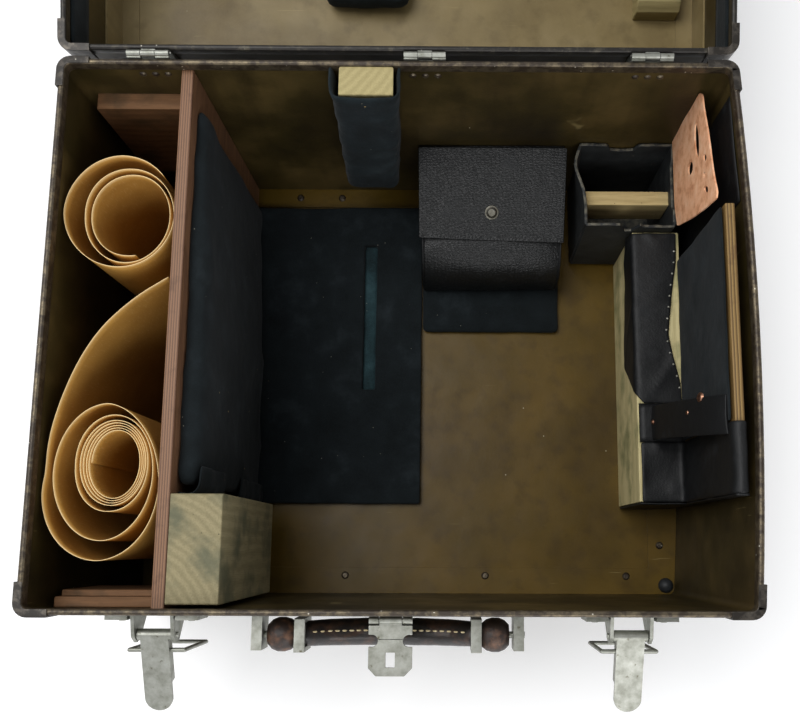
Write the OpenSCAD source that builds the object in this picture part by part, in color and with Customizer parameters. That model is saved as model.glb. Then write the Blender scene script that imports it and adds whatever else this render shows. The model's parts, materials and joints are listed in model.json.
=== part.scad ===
// Fitted carrying case for a desk instrument: sheet-metal base and lid, padded interior,
// pouch, accessory box, cradle, draw latches, hasp, leather handle and two paper rolls.
// The frame has its origin at the centre of the base's underside, +Y towards the hinges.

/* [Case] */
// Outer width of the base, left to right
case_w = 420; // [410:2:430]
// Outer length of the base, front to back
case_l = 336; // [330:2:344]
// Height of the base up to its rim
case_h = 195; // [192:1:200]
// Sheet metal thickness
sheet_t = 1.2; // [0.8:0.2:1.6]
// Radius of the upright corners
corner_r = 6; // [5:1:12]
// How far the right wall bulges outwards at its middle
side_bow = 6; // [2:1:8]
// Height of the rolled rim binding
rim_h = 8; // [6:1:10]
// Width of the flange that frames the floor
flange_w = 20; // [16:1:22]

/* [Lid] */
// Height of the lid above its own rim
lid_h = 95; // [85:1:105]
// Opening angle of the lid as it stands
lid_open = 170; // [160:1:172]
// Gap left between the two rims when shut
lid_gap = 2; // [1.6:0.1:2.4]
// Width of one hinge
hinge_w = 26; // [24:1:30]

/* [Fittings] */
// Thickness of the plywood divider
divider_t = 7.5; // [6:0.5:9]
// Left face of the divider, measured from the left inner wall
roll_bay_w = 71.3; // [70.8:0.1:74]
// Thickness of the floor felt board
floor_pad_t = 6.8; // [5:0.2:8]
// Height of the cradle shelf
cradle_h = 80; // [74:1:86]
// Height of the accessory box
box_h = 92; // [86:1:96]
// Height of the pouch at the back wall
pouch_h = 86; // [80:1:88]
// Height of the rolled paper
paper_h = 181; // [160:1:184]

/* [Latches and handle] */
// Distance from the middle to each latch
latch_x = 140; // [134:1:146]
// Height of the latch pivots
latch_z = 168; // [164:1:170]
// Angle of the latch levers below level as they stand
lever_drop = 22; // [18:1:26]
// Height of the handle pivots
handle_z = 163; // [158:1:166]
// Half the distance between the handle posts
handle_half = 76.9; // [74:0.1:80]
// Height of the hasp hinge
hasp_z = 178; // [176:1:180]

/* [Hidden] */
$fn = 32;

in_x = case_w / 2 - sheet_t;
in_y = case_l / 2 - sheet_t;
binding_out = 1.2;
binding_in = 2.4;
cap_t = 1.2;
cap_lip = 0.8;
cap_arm = 15;
floor_z = sheet_t;
flange_z = 2 * sheet_t;
back_flange_w = 16;
bow_steps = 12;
corner_steps = 6;

// Corner arc as a list of points
function arc(cx, cy, r, a0, a1, n) =
  [for (i = [0:n]) let (a = a0 + (a1 - a0) * i / n) [cx + r * cos(a), cy + r * sin(a)]];

// Plan outline grown by o, with its right side bowed out by b
function outline(o, b) =
  let (cx = case_w / 2 - corner_r, cy = case_l / 2 - corner_r, r = corner_r + o)
  concat(
    arc(-cx, -cy, r, 180, 270, corner_steps),
    arc(cx, -cy, r, 270, 360, corner_steps),
    [for (i = [1:bow_steps - 1])
      let (s = 2 * i / bow_steps - 1) [cx + r + b * (1 - s * s), s * cy]],
    arc(cx, cy, r, 0, 90, corner_steps),
    arc(-cx, cy, r, 90, 180, corner_steps));

// Upright ring between two outlines
module ring(z0, z1, out, inn, b) {
  translate([0, 0, z0]) linear_extrude(z1 - z0) difference() {
    polygon(outline(out, b));
    polygon(outline(inn, b));
  }
}

// Box from its low and high corners
module block(lo, hi) {
  translate(lo) cube([hi[0] - lo[0], hi[1] - lo[1], hi[2] - lo[2]]);
}

// Outline in the Y-Z plane, run along X from x0 to x1
module along_x(x0, x1, pts) {
  translate([x0, 0, 0]) rotate([90, 0, 90]) linear_extrude(x1 - x0) polygon(pts);
}

// Outline in the X-Z plane, run along Y from y0 to y1
module along_y(y0, y1, pts) {
  translate([0, y1, 0]) rotate([90, 0, 0]) linear_extrude(y1 - y0) polygon(pts);
}

// Round bar along X, centred on [y, z]
module bar_x(x0, x1, y, z, r) {
  translate([x0, y, z]) rotate([0, 90, 0]) cylinder(h = x1 - x0, r = r);
}

// Low cone-shaped rivet head standing on z = 0
module rivet_head(r, h) {
  cylinder(h = h, r1 = r, r2 = r * 0.6);
}

// ---- base ----

module case_walls() {
  color("#3f3a2c") ring(0, case_h - rim_h, 0, -sheet_t, side_bow);
}

module case_floor() {
  color("#5f4f2e") linear_extrude(sheet_t) polygon(outline(-sheet_t, side_bow));
}

module floor_flange() {
  color("#6a5a38") translate([0, 0, floor_z]) linear_extrude(sheet_t) difference() {
    polygon(outline(-sheet_t, side_bow));
    translate([-in_x + flange_w, -in_y + flange_w])
      square([2 * (in_x - flange_w), 2 * in_y - flange_w - back_flange_w]);
  }
}

flange_rivet_at = [[171, -153], [60, -153], [-50, -153], [198, -129], [-95, 159], [-60, 159]];
module flange_rivets() {
  color("#b5aa92") for (p = flange_rivet_at)
    translate([p[0], p[1], flange_z]) rivet_head(3, 1.2);
}

module rim_binding() {
  color("#a39a88") ring(case_h - rim_h, case_h, binding_out, -binding_in, side_bow);
}

// L-shaped caps over the four corners of a rim; up is +1 for the base, -1 for the lid
module corner_caps(rim_z, up, b) {
  reach = cap_arm + binding_out + cap_t;
  intersection() {
    union() {
      translate([0, 0, up > 0 ? rim_z - 14 : rim_z]) linear_extrude(14) difference() {
        polygon(outline(binding_out + cap_t, b));
        polygon(outline(binding_out, b));
      }
      translate([0, 0, up > 0 ? rim_z : rim_z - cap_lip]) linear_extrude(cap_lip) difference() {
        polygon(outline(binding_out + cap_t, b));
        polygon(outline(-binding_in, b));
      }
    }
    union() for (sx = [-1, 1], sy = [-1, 1])
      translate([sx * case_w / 2, sy * case_l / 2, rim_z]) cube([2 * reach, 2 * reach, 40], center = true);
  }
}

module case_corner_caps() {
  color("#b9b5aa") corner_caps(case_h, 1, side_bow);
}

module corner_plug() {
  color("#23262b") translate([in_x - 6.8, -in_y + 6.8, flange_z]) intersection() {
    sphere(r = 5.8);
    cylinder(h = 6, r = 7);
  }
}

hinge_at = [-156, 16, 158];
hinge_y = case_l / 2 + 4;
hinge_z = case_h + lid_gap / 2;
module hinge_rivets() {
  color("#2c2a22") for (hx = hinge_at, dx = [-8, 0, 8])
    translate([hx + dx, in_y, case_h - 14]) rotate([90, 0, 0]) rivet_head(2.4, 1);
}

// ---- left bay: divider, pad, cleats and block ----

divider_x0 = -in_x + roll_bay_w;
divider_x1 = divider_x0 + divider_t;
module divider_board() {
  color("#c79a6a") block([divider_x0, -in_y, flange_z], [divider_x1, in_y, case_h - 8]);
}

pad_y0 = -97;
pad_y1 = 148.5;
pad_z0 = floor_z + floor_pad_t;
module divider_pad() {
  color("#2a3136") translate([0, 0, pad_z0]) linear_extrude(case_h - 14 - pad_z0) polygon([
    [divider_x1, pad_y0], [divider_x1 + 13, pad_y0], [divider_x1 + 13, pad_y0 + 90],
    [divider_x1 + 10, pad_y0 + 160], [divider_x1 + 5.5, pad_y1], [divider_x1, pad_y1]]);
}

module rear_cleat() {
  color("#8a6a48") block([-in_x + corner_r, in_y - 11, 60], [divider_x0, in_y, 157]);
}

module front_cleat() {
  color("#8d7350") union() {
    block([-in_x + corner_r, -in_y, 100], [divider_x0, -in_y + 6.3, 165]);
    block([-in_x + corner_r, -in_y + 6.3, 100], [divider_x0, -in_y + 10, 156]);
  }
}

module corner_block() {
  color("#a79d7c") block([divider_x1, -in_y + 3, 48], [divider_x1 + 31, -100, case_h - 8]);
}

slot_x = [-39.5, -29];
slot_y = [-5.5, 116];
module floor_pad() {
  color("#23292d") difference() {
    block([divider_x1, pad_y0, floor_z], [8, pad_y1, floor_z + floor_pad_t]);
    block([slot_x[0], slot_y[0], floor_z + 1.2], [slot_x[1], slot_y[1], floor_z + 20]);
  }
}

// ---- back wall: post and pouch ----

post_x = -20.5;
post_w = 34;
post_d = 20;
post_z0 = 60;
post_lean = 8;
post_top = case_h - 1.5;
// The post leans: its foot is nearer the divider than its top
module leaning(shift) {
  k = shift / (post_top - post_z0);
  multmatrix([[1, 0, k, -k * post_top], [0, 1, 0, 0], [0, 0, 1, 0], [0, 0, 0, 1]]) children();
}

// Rebate that lets the post and its felt pass inside the rim
module rim_rebate() {
  block([post_x - 40, case_l / 2 - binding_in - 0.1, case_h - rim_h - 0.5],
    [post_x + 40, case_l / 2, case_h + 1]);
}

module rear_post() {
  color("#b3a675") difference() {
    leaning(post_lean)
      block([post_x - post_w / 2, in_y - post_d, post_z0 + 2], [post_x + post_w / 2, in_y, post_top]);
    rim_rebate();
  }
}

module post_felt() {
  t = 2.5;
  color("#2f383f") difference() {
    leaning(post_lean) difference() {
      block([post_x - post_w / 2 - t, in_y - post_d - t, post_z0],
        [post_x + post_w / 2 + t, in_y, post_top - 3]);
      block([post_x - post_w / 2, in_y - post_d, post_z0 - 1], [post_x + post_w / 2, in_y + 1, post_top]);
    }
    rim_rebate();
  }
}

pouch_x0 = 9;
pouch_x1 = 118;
pouch_y0 = 76;
pouch_z0 = 8;
pouch_skin = 2.5;
// The sloping top runs from the back wall down to this nose
nose_y = 108;
nose_z = 58;
top_rise = (pouch_h - nose_z) / (in_y - nose_y);
module pouch_base() {
  color("#1d2327") block([pouch_x0, 43, floor_z], [pouch_x1 + 2, in_y - back_flange_w, pouch_z0]);
}

module pouch_bag() {
  s = pouch_skin;
  mouth_y = 142;
  color("#3a3d3f") difference() {
    along_x(pouch_x0, pouch_x1, [[in_y, pouch_z0], [in_y, pouch_h], [nose_y, nose_z],
      [98, 55], [88, 48.5], [80, 37], [pouch_y0, 22], [pouch_y0, pouch_z0]]);
    along_x(pouch_x0 + s, pouch_x1 - s, [[in_y - s, pouch_z0 + s], [in_y - s, pouch_h + 9],
      [mouth_y, pouch_h + 9], [mouth_y, nose_z + (mouth_y - nose_y) * top_rise - 3],
      [nose_y + 1, nose_z - 3], [98.6, 52.4], [89.8, 46.6], [82.3, 36], [pouch_y0 + s, 21.5],
      [pouch_y0 + s, pouch_z0 + s]]);
  }
}

flap_gap = 1;
flap_t = 2.2;
flap_y1 = in_y - 2.4;
flap_y0 = 105;
function flap_z(y) = nose_z + (y - nose_y) * top_rise + flap_gap;
module pouch_flap() {
  color("#4a4c4e") along_x(pouch_x0 - 2.5, pouch_x1 + 2.5, [
    [flap_y1, flap_z(flap_y1)], [flap_y1, flap_z(flap_y1) + flap_t],
    [flap_y0, flap_z(flap_y0) + flap_t], [flap_y0 - 3.5, flap_z(flap_y0) + 0.6],
    [flap_y0 - 2.5, flap_z(flap_y0) - 0.5], [flap_y0 + 0.6, flap_z(flap_y0) + 0.3]]);
}

stud_x = 63;
stud_y = 121;
stud_tilt = atan(top_rise);
module stud_cap() {
  color("#c9ccca") translate([stud_x, stud_y, flap_z(stud_y) + flap_t]) rotate([stud_tilt, 0, 0])
    union() {
      cylinder(h = 1, r = 5.2);
      translate([0, 0, 1]) cylinder(h = 1.4, r1 = 4.2, r2 = 2.6);
    }
}

module stud_socket() {
  color("#b4b7b5") translate([stud_x, stud_y, flap_z(stud_y) - flap_gap]) rotate([stud_tilt, 0, 0])
    cylinder(h = 0.6, r = 4);
}

// ---- right side: accessory box, cradle, wall board and leather ----

box_x = [129, 198];
box_y0 = 101;
box_wall = 3;
module accessory_box() {
  w = box_wall;
  color("#2e2f2f") difference() {
    block([box_x[0], box_y0, flange_z], [box_x[1], in_y, box_h]);
    block([box_x[0] + w, box_y0 + w, flange_z + w], [box_x[1] - w, in_y - w, box_h + 1]);
  }
}

module box_divider() {
  color("#b6a274") block([box_x[0] + box_wall, 122.5, 52], [box_x[1] - box_wall, 133, 80]);
}

cradle_x0 = 167;
cradle_y0 = -98.5;
cradle_y1 = box_y0;
board_t = 8;
wall_board_x = [201, 207];
skin_t = 1.5;
module cradle_side() {
  color("#a89f78") block([cradle_x0, cradle_y0, floor_z], [cradle_x0 + board_t, cradle_y1, cradle_h]);
}

module cradle_shelf() {
  color("#a39972") block([cradle_x0 + board_t, cradle_y0, cradle_h - board_t],
    [wall_board_x[0], cradle_y1, cradle_h]);
}

module cradle_end() {
  color("#9a9069") block([cradle_x0 + board_t, cradle_y0, flange_z],
    [wall_board_x[0], cradle_y0 + board_t, cradle_h - board_t]);
}

board_top = case_h - 5;
module wall_board() {
  color("#a98a5c") block([wall_board_x[0], cradle_y0, flange_z], [wall_board_x[1], 79, board_top]);
}

strap_y = [-55, -30];
module board_felt() {
  color("#2b3338") block([wall_board_x[0] - skin_t, strap_y[0] - 0.5, cradle_h + skin_t],
    [wall_board_x[0], 79, board_top - 2]);
}

// Black covering of the front end: over the shelf, up the board, over its top and down the front
module cradle_cover() {
  x0 = wall_board_x[0] - skin_t;
  x1 = wall_board_x[1];
  yf = cradle_y0 - skin_t;
  color("#212528") union() {
    block([cradle_x0 + 1, cradle_y0, cradle_h], [wall_board_x[0], strap_y[1] + 1, cradle_h + skin_t]);
    block([x0, cradle_y0, cradle_h], [wall_board_x[0], strap_y[0] - 1, board_top]);
    block([x0, cradle_y0, board_top], [x1, strap_y[0] - 1, board_top + skin_t]);
    block([cradle_x0, yf, flange_z + 1], [x1, cradle_y0, cradle_h + skin_t]);
    block([x0, yf, cradle_h], [x1, cradle_y0, board_top + skin_t]);
  }
}

module cradle_apron() {
  color("#25292c") union() {
    block([cradle_x0 - skin_t, strap_y[1] + 2, cradle_h], [192, cradle_y1, cradle_h + skin_t]);
    block([cradle_x0 - skin_t, -10, 48], [cradle_x0, cradle_y1, cradle_h]);
  }
}

// Arched strap from the shelf up to the top of the wall board
strap_curve = [[175, 0], [177, 26], [181.5, 52], [188, 77], [199.4, 104]];
strap_t = 2.2;
// How far the strap's top end sits nearer the front than its foot
strap_skew = 9;
module end_strap() {
  z0 = cradle_h + skin_t;
  n = len(strap_curve) - 1;
  inner = [for (i = [n:-1:0]) [min(strap_curve[i][0] + strap_t, 199.4), z0 + max(strap_curve[i][1] - 1, 0)]];
  k = -strap_skew / strap_curve[n][1];
  color("#2a2e31") multmatrix([[1, 0, 0, 0], [0, 1, k, -k * z0], [0, 0, 1, 0], [0, 0, 0, 1]])
    along_y(strap_y[0], strap_y[1], concat([for (p = strap_curve) [p[0], z0 + p[1]]], inner));
}

// Outer face of the strap at height h above the shelf, and its lean from upright
function strap_x(h) = lookup(h, [for (p = strap_curve) [p[1], p[0]]]);
function strap_lean(h) = atan((strap_x(h + 1) - strap_x(h - 1)) / 2);

// Each rivet: place along the case, height above the shelf, radius
copper_at = [[-37.5, 80, 3.4], [-45, 66, 2], [-43, 9.5, 2]];
module copper_rivets() {
  color("#c07a4e") for (p = copper_at)
    translate([strap_x(p[1]), p[0], cradle_h + skin_t + p[1]]) rotate([0, strap_lean(p[1]) - 90, 0])
      translate([0, 0, 0.1]) rivet_head(p[2], 1.2);
}

module leather_partition() {
  color("#c78f62") along_x(195.2, 197.7, [[in_y, box_h], [in_y, 172], [127, 176.5], [103, 182],
    [85, 186], [92, 130], [101, box_h]]);
}

module wall_lining() {
  color("#1c1f21") translate([0, 0, 50]) linear_extrude(case_h - 12 - 50) intersection() {
    difference() {
      polygon(outline(-sheet_t, side_bow));
      polygon(outline(-sheet_t - 1.6, side_bow));
    }
    translate([in_x - 12, 82]) square([30, in_y - corner_r - 82]);
  }
}

// ---- carrying handle ----

handle_x = -2.9;
handle_y = -case_l / 2 - 14;
pin_r = 2;
running = 0.05;
post_t = 6.2;
module handle_posts() {
  front = -case_l / 2;
  color("#b9b8ac") for (s = [-1, 1]) translate([handle_x + s * handle_half, 0, 0]) union() {
    block([-post_t, front - 2, handle_z - 17], [post_t, front, handle_z + 15]);
    block([-post_t / 2, front - 22.5, handle_z - 9], [post_t / 2, front - 2, handle_z + 9]);
    bar_x(s > 0 ? -13 : -post_t / 2 - 1, s > 0 ? post_t / 2 + 1 : 13, handle_y, handle_z, pin_r);
  }
}

knob_in = 55.5;
knob_out = 71.5;
// Barrel-shaped leather stop, bored for its pivot pin
module handle_knobs() {
  len = knob_out - knob_in;
  color("#4b382c") for (s = [-1, 1])
    translate([handle_x + s * knob_in, handle_y, handle_z]) rotate([0, s * 90, 0]) difference() {
      rotate_extrude() polygon([[0, 0], [7, 0], [9, 2.5], [10, 6], [10, 10], [8.6, 13.5], [6, len], [0, len]]);
      translate([0, 0, 4]) cylinder(h = len, r = pin_r + running);
    }
}

ferrule_w = 6.4;
ferrule_x = 52;
neck_half = 7;
neck_z = [-12, 5];
module handle_ferrules() {
  color("#b3b2a6") for (s = [-1, 1]) translate([handle_x + s * ferrule_x, handle_y, handle_z])
    difference() {
      block([-ferrule_w / 2, -9.8, -15.5], [ferrule_w / 2, 9.8, 8.5]);
      block([-ferrule_w, -neck_half, neck_z[0]], [ferrule_w, neck_half, neck_z[1]]);
    }
}

grip_end = ferrule_x - ferrule_w / 2;
// Half of the grip as stations: distance out, height from the pivots, radius
grip_path = [[0, -18.5, 8.8], [18, -17.5, 8.8], [36, -13, 8.6], [grip_end - 0.6, -5, 8.2]];
module grip_station(s, p) {
  translate([s * p[0] - 0.5, 0, p[1]]) rotate([0, 90, 0]) cylinder(h = 1, r = p[2], $fn = 24);
}
module handle_grip() {
  color("#1f1a18") translate([handle_x, handle_y, handle_z]) union() {
    for (s = [-1, 1], i = [0:2]) hull() {
      grip_station(s, grip_path[i]);
      grip_station(s, grip_path[i + 1]);
    }
    for (s = [-1, 1]) translate([s * (grip_end + ferrule_w / 2), 0, (neck_z[0] + neck_z[1]) / 2])
      cube([ferrule_w + 0.4, 2 * neck_half, neck_z[1] - neck_z[0]], center = true);
  }
}

// ---- hasp ----

hasp_x = -0.8;
hasp_y = -case_l / 2 - 4.5;
hasp_len = 31.5;
hasp_w = 25.4;
knuckle_r = 2.3;
hasp_pin_r = 1;
module hasp_bracket() {
  front = -case_l / 2;
  color("#aeb0ac") translate([hasp_x, 0, 0]) union() {
    block([-hasp_w / 2, front - 1.6, hasp_z - 20], [hasp_w / 2, front, hasp_z]);
    for (s = [-1, 1]) translate([s * 9.8 - 2.8, 0, 0]) union() {
      bar_x(0, 5.6, hasp_y, hasp_z, knuckle_r);
      block([0, hasp_y, hasp_z - 2], [5.6, front, hasp_z]);
    }
    bar_x(-12.6, 12.6, hasp_y, hasp_z, hasp_pin_r);
  }
}

plate_t = 1.6;
notch_r = 3.4;
notch_y = hasp_y - 11.6;
module hasp_plate() {
  y1 = hasp_y - hasp_len;
  c = 4.5;
  color("#b4b7b4") translate([hasp_x, 0, 0]) difference() {
    union() {
      bar_x(-6.6, 6.6, hasp_y, hasp_z, knuckle_r);
      translate([0, 0, hasp_z - plate_t / 2]) linear_extrude(plate_t) difference() {
        polygon([[-6.6, hasp_y], [-6.6, hasp_y - 3], [-hasp_w / 2, hasp_y - 3], [-hasp_w / 2, y1 + c],
          [-hasp_w / 2 + c, y1], [hasp_w / 2 - c, y1], [hasp_w / 2, y1 + c], [hasp_w / 2, hasp_y - 3],
          [6.6, hasp_y - 3], [6.6, hasp_y]]);
        for (s = [-1, 1]) translate([s * (hasp_w / 2 - 2), notch_y]) circle(r = notch_r);
        for (s = [-1, 1]) translate([s * (hasp_w / 2), notch_y]) square([4, 2 * notch_r], center = true);
        translate([-2.7, hasp_y - 26.6]) square([5.4, 8.4]);
      }
    }
    bar_x(-7, 7, hasp_y, hasp_z, hasp_pin_r + running);
  }
}

module hasp_staple() {
  front = -case_l / 2;
  color("#a8aaa6") lid_place() difference() {
    block([hasp_x - 1.4, front - 16.5, hasp_z + 19.3], [hasp_x + 1.4, front - binding_out, hasp_z + 25.6]);
    bar_x(hasp_x - 3, hasp_x + 3, front - 12, hasp_z + 22.4, 1.8);
  }
}

// ---- draw latches ----

latch_y = -case_l / 2 - 14;
cheek_x = 10.6;
cheek_t = 2;
latch_pin_r = 1.6;
module latch_base(cx) {
  front = -case_l / 2;
  color("#b7bab8") translate([cx, 0, 0]) union() {
    block([-14, front - 2, latch_z - 22], [14, front, latch_z + 10]);
    for (s = [-1, 1]) {
      block([s > 0 ? 14 : -27, front - 5, latch_z - 12], [s > 0 ? 27 : -14, front, latch_z + 10]);
      along_x(s > 0 ? cheek_x : -cheek_x - cheek_t, s > 0 ? cheek_x + cheek_t : -cheek_x,
        [[front - 2, latch_z - 15], [front - 2, latch_z + 9], [latch_y - 1, latch_z + 5.5],
        [latch_y - 4.6, latch_z], [latch_y - 3, latch_z - 5]]);
    }
    bar_x(-cheek_x - cheek_t - 1, cheek_x + cheek_t + 1, latch_y, latch_z, latch_pin_r);
    for (s = [-1, 1]) translate([s * 20.5, front - 5, latch_z - 1]) rotate([90, 0, 0]) rivet_head(3, 1.2);
  }
}

bail_arm = 10;
bail_r = 1.3;
bail_half = 16.2;
bail_len = 44.8;
lever_len = 48;
lever_w = 16.5;
bar_roll_r = 3.4;
// Things modelled level along -Y from the pivot, then dropped to the standing angle
module lever_place(cx) {
  translate([cx, latch_y, latch_z]) rotate([lever_drop, 0, 0]) children();
}

module latch_lever(cx) {
  r = lever_w / 2;
  color("#b9bcb8") lever_place(cx) difference() {
    union() {
      bar_x(-cheek_x + 0.4, cheek_x - 0.4, 0, 0, bar_roll_r);
      translate([0, 0, 1.6]) linear_extrude(1.8) union() {
        translate([-r, -lever_len + r]) square([lever_w, lever_len - r]);
        translate([0, -lever_len + r]) circle(r = r);
      }
      for (s = [-1, 1]) block([s > 0 ? r - 1.8 : -r, -30, -3], [s > 0 ? r : -r + 1.8, 0, 1.6]);
    }
    bar_x(-cheek_x, cheek_x, 0, 0, latch_pin_r + running);
    bar_x(-r - 1, r + 1, -bail_arm, 0, bail_r + running);
  }
}

// Wire bail hanging straight down from the lever's ears
module latch_bail(cx) {
  by = latch_y - bail_arm * cos(lever_drop);
  bz = latch_z - bail_arm * sin(lever_drop);
  color("#9c9f9b") translate([cx, by, bz]) union() {
    for (s = [-1, 1]) {
      bar_x(s > 0 ? 5.6 : -bail_half, s > 0 ? bail_half : -5.6, 0, 0, bail_r);
      translate([s * bail_half, 0, -bail_len]) cylinder(h = bail_len, r = bail_r);
      translate([s * bail_half, 0, 0]) sphere(r = bail_r);
      translate([s * bail_half, 0, -bail_len]) sphere(r = bail_r);
    }
    bar_x(-bail_half, bail_half, 0, -bail_len, bail_r);
  }
}

module latch_base_left() { latch_base(-latch_x); }
module latch_lever_left() { latch_lever(-latch_x); }
module latch_bail_left() { latch_bail(-latch_x); }
module latch_base_right() { latch_base(latch_x); }
module latch_lever_right() { latch_lever(latch_x); }
module latch_bail_right() { latch_bail(latch_x); }

// ---- hinges ----

hinge_r = 2;
hinge_pin_r = 1;
hinge_mid = 9;
module case_hinge_leaves() {
  back = case_l / 2;
  color("#a9a69a") for (hx = hinge_at) translate([hx, 0, 0]) union() {
    block([-hinge_w / 2, back, case_h - 26], [hinge_w / 2, back + 2.4, case_h - rim_h]);
    block([-hinge_w / 2, back + binding_out, case_h - rim_h], [hinge_w / 2, back + 2.4, case_h - 2]);
    for (s = [-1, 1]) translate([s > 0 ? hinge_mid / 2 + 0.2 : -hinge_w / 2, 0, 0]) union() {
      bar_x(0, hinge_w / 2 - hinge_mid / 2 - 0.2, hinge_y, hinge_z, hinge_r);
      block([0, back + binding_out, case_h - 2], [hinge_w / 2 - hinge_mid / 2 - 0.2, back + 3.2, hinge_z]);
    }
    bar_x(-hinge_w / 2, hinge_w / 2, hinge_y, hinge_z, hinge_pin_r);
  }
}

// Turns lid parts from the shut position to the standing open position
module lid_place() {
  translate([0, hinge_y, hinge_z]) rotate([-lid_open, 0, 0]) translate([0, -hinge_y, -hinge_z]) children();
}

lid_z0 = case_h + lid_gap;
lid_z1 = lid_z0 + lid_h;
module lid_hinge_leaves() {
  back = case_l / 2;
  m = hinge_mid / 2;
  color("#9d9b90") lid_place() for (hx = hinge_at) translate([hx, 0, 0]) difference() {
    union() {
      block([-hinge_w / 2, back, lid_z0 + rim_h], [hinge_w / 2, back + 2.4, lid_z0 + 24]);
      block([-hinge_w / 2, back + binding_out, lid_z0 + 3], [hinge_w / 2, back + 2.4, lid_z0 + rim_h]);
      block([-m, back + binding_out, hinge_z], [m, back + 3.2, lid_z0 + 3]);
      bar_x(-m, m, hinge_y, hinge_z, hinge_r);
    }
    bar_x(-m - 1, m + 1, hinge_y, hinge_z, hinge_pin_r + running);
  }
}

// ---- lid ----

module lid_shell() {
  color("#4a4533") lid_place() difference() {
    translate([0, 0, lid_z0 + rim_h]) linear_extrude(lid_h - rim_h) polygon(outline(0, 0));
    translate([0, 0, lid_z0]) linear_extrude(lid_h - sheet_t) polygon(outline(-sheet_t, 0));
  }
}

module lid_rim() {
  color("#3c3c38") lid_place() ring(lid_z0, lid_z0 + rim_h, binding_out, -binding_in, 0);
}

module lid_corner_caps() {
  color("#8f8d84") lid_place() corner_caps(lid_z0, -1, 0);
}

panel_z = lid_z1 - sheet_t;
frame_leg = 30;
frame_foot = 13;
module lid_frame() {
  color("#7b6c49") lid_place() difference() {
    translate([0, 0, panel_z - frame_leg]) linear_extrude(frame_leg) polygon(outline(-sheet_t, 0));
    translate([0, 0, panel_z - frame_leg - 1]) linear_extrude(frame_leg) polygon(outline(-2 * sheet_t, 0));
    translate([-in_x + frame_foot, -in_y + frame_foot, panel_z - 9])
      cube([2 * (in_x - frame_foot), 2 * (in_y - frame_foot), 12]);
  }
}

module lid_seal() {
  color("#1e2122") lid_place()
    ring(lid_z0 + rim_h, lid_z0 + rim_h + 27, -sheet_t, -sheet_t - 1.6, 0);
}

lid_pad_x = [-60, 3];
lid_pad_y = [34, 106];
lid_pad_h = 26;
module lid_pad() {
  r = 9;
  color("#262d31") lid_place() translate([0, 0, panel_z - lid_pad_h]) linear_extrude(lid_pad_h)
    polygon(concat(
      arc(lid_pad_x[0] + r, lid_pad_y[0] + r, r, 180, 270, 5),
      arc(lid_pad_x[1] - r, lid_pad_y[0] + r, r, 270, 360, 5),
      arc(lid_pad_x[1] - r, lid_pad_y[1] - r, r, 0, 90, 5),
      arc(lid_pad_x[0] + r, lid_pad_y[1] - r, r, 90, 180, 5)));
}

module lid_block() {
  color("#8b7f58") lid_place() along_x(164, 195, [[42, panel_z], [42, panel_z - 14], [48, panel_z - 20],
    [104, panel_z - 20], [109, panel_z - 14], [109, panel_z]]);
}

// Hooked catch plates that the wire bails pull on
module lid_catches() {
  front = -case_l / 2;
  arm_z = latch_z - bail_arm + bail_len - bail_r - 0.2;
  color("#a7aaa6") lid_place() for (s = [-1, 1]) translate([s * latch_x, 0, 0]) union() {
    block([-12, front - 3.2, lid_z0 + rim_h - 3], [12, front - binding_out, lid_z0 + rim_h]);
    block([-12, front - 3.2, lid_z0 + rim_h], [12, front, lid_z0 + 30]);
    block([-11, front - 3.2, arm_z - 1.8], [11, front - binding_out, lid_z0 + rim_h - 3]);
    block([-11, front - 19.4, arm_z - 1.8], [11, front - 3.2, arm_z]);
    block([-11, front - 19.4, arm_z], [11, front - 17.2, arm_z + 4.2]);
  }
}

// ---- paper rolls ----

paper_t = 1.2;
paper_z = flange_z + 0.3;
turn_steps = 40;

// Centre line limits of a roll against the outer wall and against the divider
bay_left = -in_x + 1.35 + paper_t / 2;
bay_right = divider_x0 - 0.6 - paper_t / 2;

// Points of a loose coil. Each envelope lists [angle, position] where the coil reaches
// furthest left, right, front and back, and is read between its entries
function coil(a0, a1, left, right, front, back) =
  [for (a = [a0:360 / turn_steps:a1])
    let (l = lookup(a, left), r = lookup(a, right), f = lookup(a, front), k = lookup(a, back))
    [(l + r) / 2 + (r - l) / 2 * cos(a), (f + k) / 2 + (k - f) / 2 * sin(a)]];

// Unit normal of a polyline at one of its points
function side(p, i) =
  let (a = p[max(i - 1, 0)], b = p[min(i + 1, len(p) - 1)], d = norm(b - a))
  [(a[1] - b[1]) / d, (b[0] - a[0]) / d];

// Closed outline of a strip of thickness t that follows a polyline
function strip(p, t) = concat(
  [for (i = [0:len(p) - 1]) p[i] + side(p, i) * t / 2],
  [for (i = [len(p) - 1:-1:0]) p[i] - side(p, i) * t / 2]);

module paper_roll_rear() {
  path = coil(40, 1000,
    [[180, bay_left], [540, bay_left + 13.4], [900, bay_left + 17]],
    [[360, bay_right], [720, bay_right - 2.6]],
    [[270, 38.5], [630, 41.2], [990, 46]],
    [[90, 110.5], [450, 102], [810, 98.5]]);
  color("#d9b57e") translate([0, 0, paper_z]) linear_extrude(paper_h) polygon(strip(path, paper_t));
}

module paper_roll_front() {
  tail = [[bay_right - 1, 32], [bay_right - 20, 20], [bay_right - 39, 2], [bay_right - 52, -20],
    [bay_right - 61, -43], [bay_right - 66.5, -68]];
  path = concat(tail, coil(165, 1300,
    [[180, bay_left], [540, bay_left + 5.5], [900, bay_left + 18.5], [1260, bay_left + 21.2]],
    [[360, bay_right], [720, bay_right - 3.8], [1080, bay_right - 7]],
    [[270, -139.1], [630, -127.5], [990, -110.4], [1350, -107]],
    [[270, -60], [450, -46.2], [810, -53.2], [1170, -56.4]]));
  color("#d6ae74") translate([0, 0, paper_z]) linear_extrude(paper_h) polygon(strip(path, paper_t));
}

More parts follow.
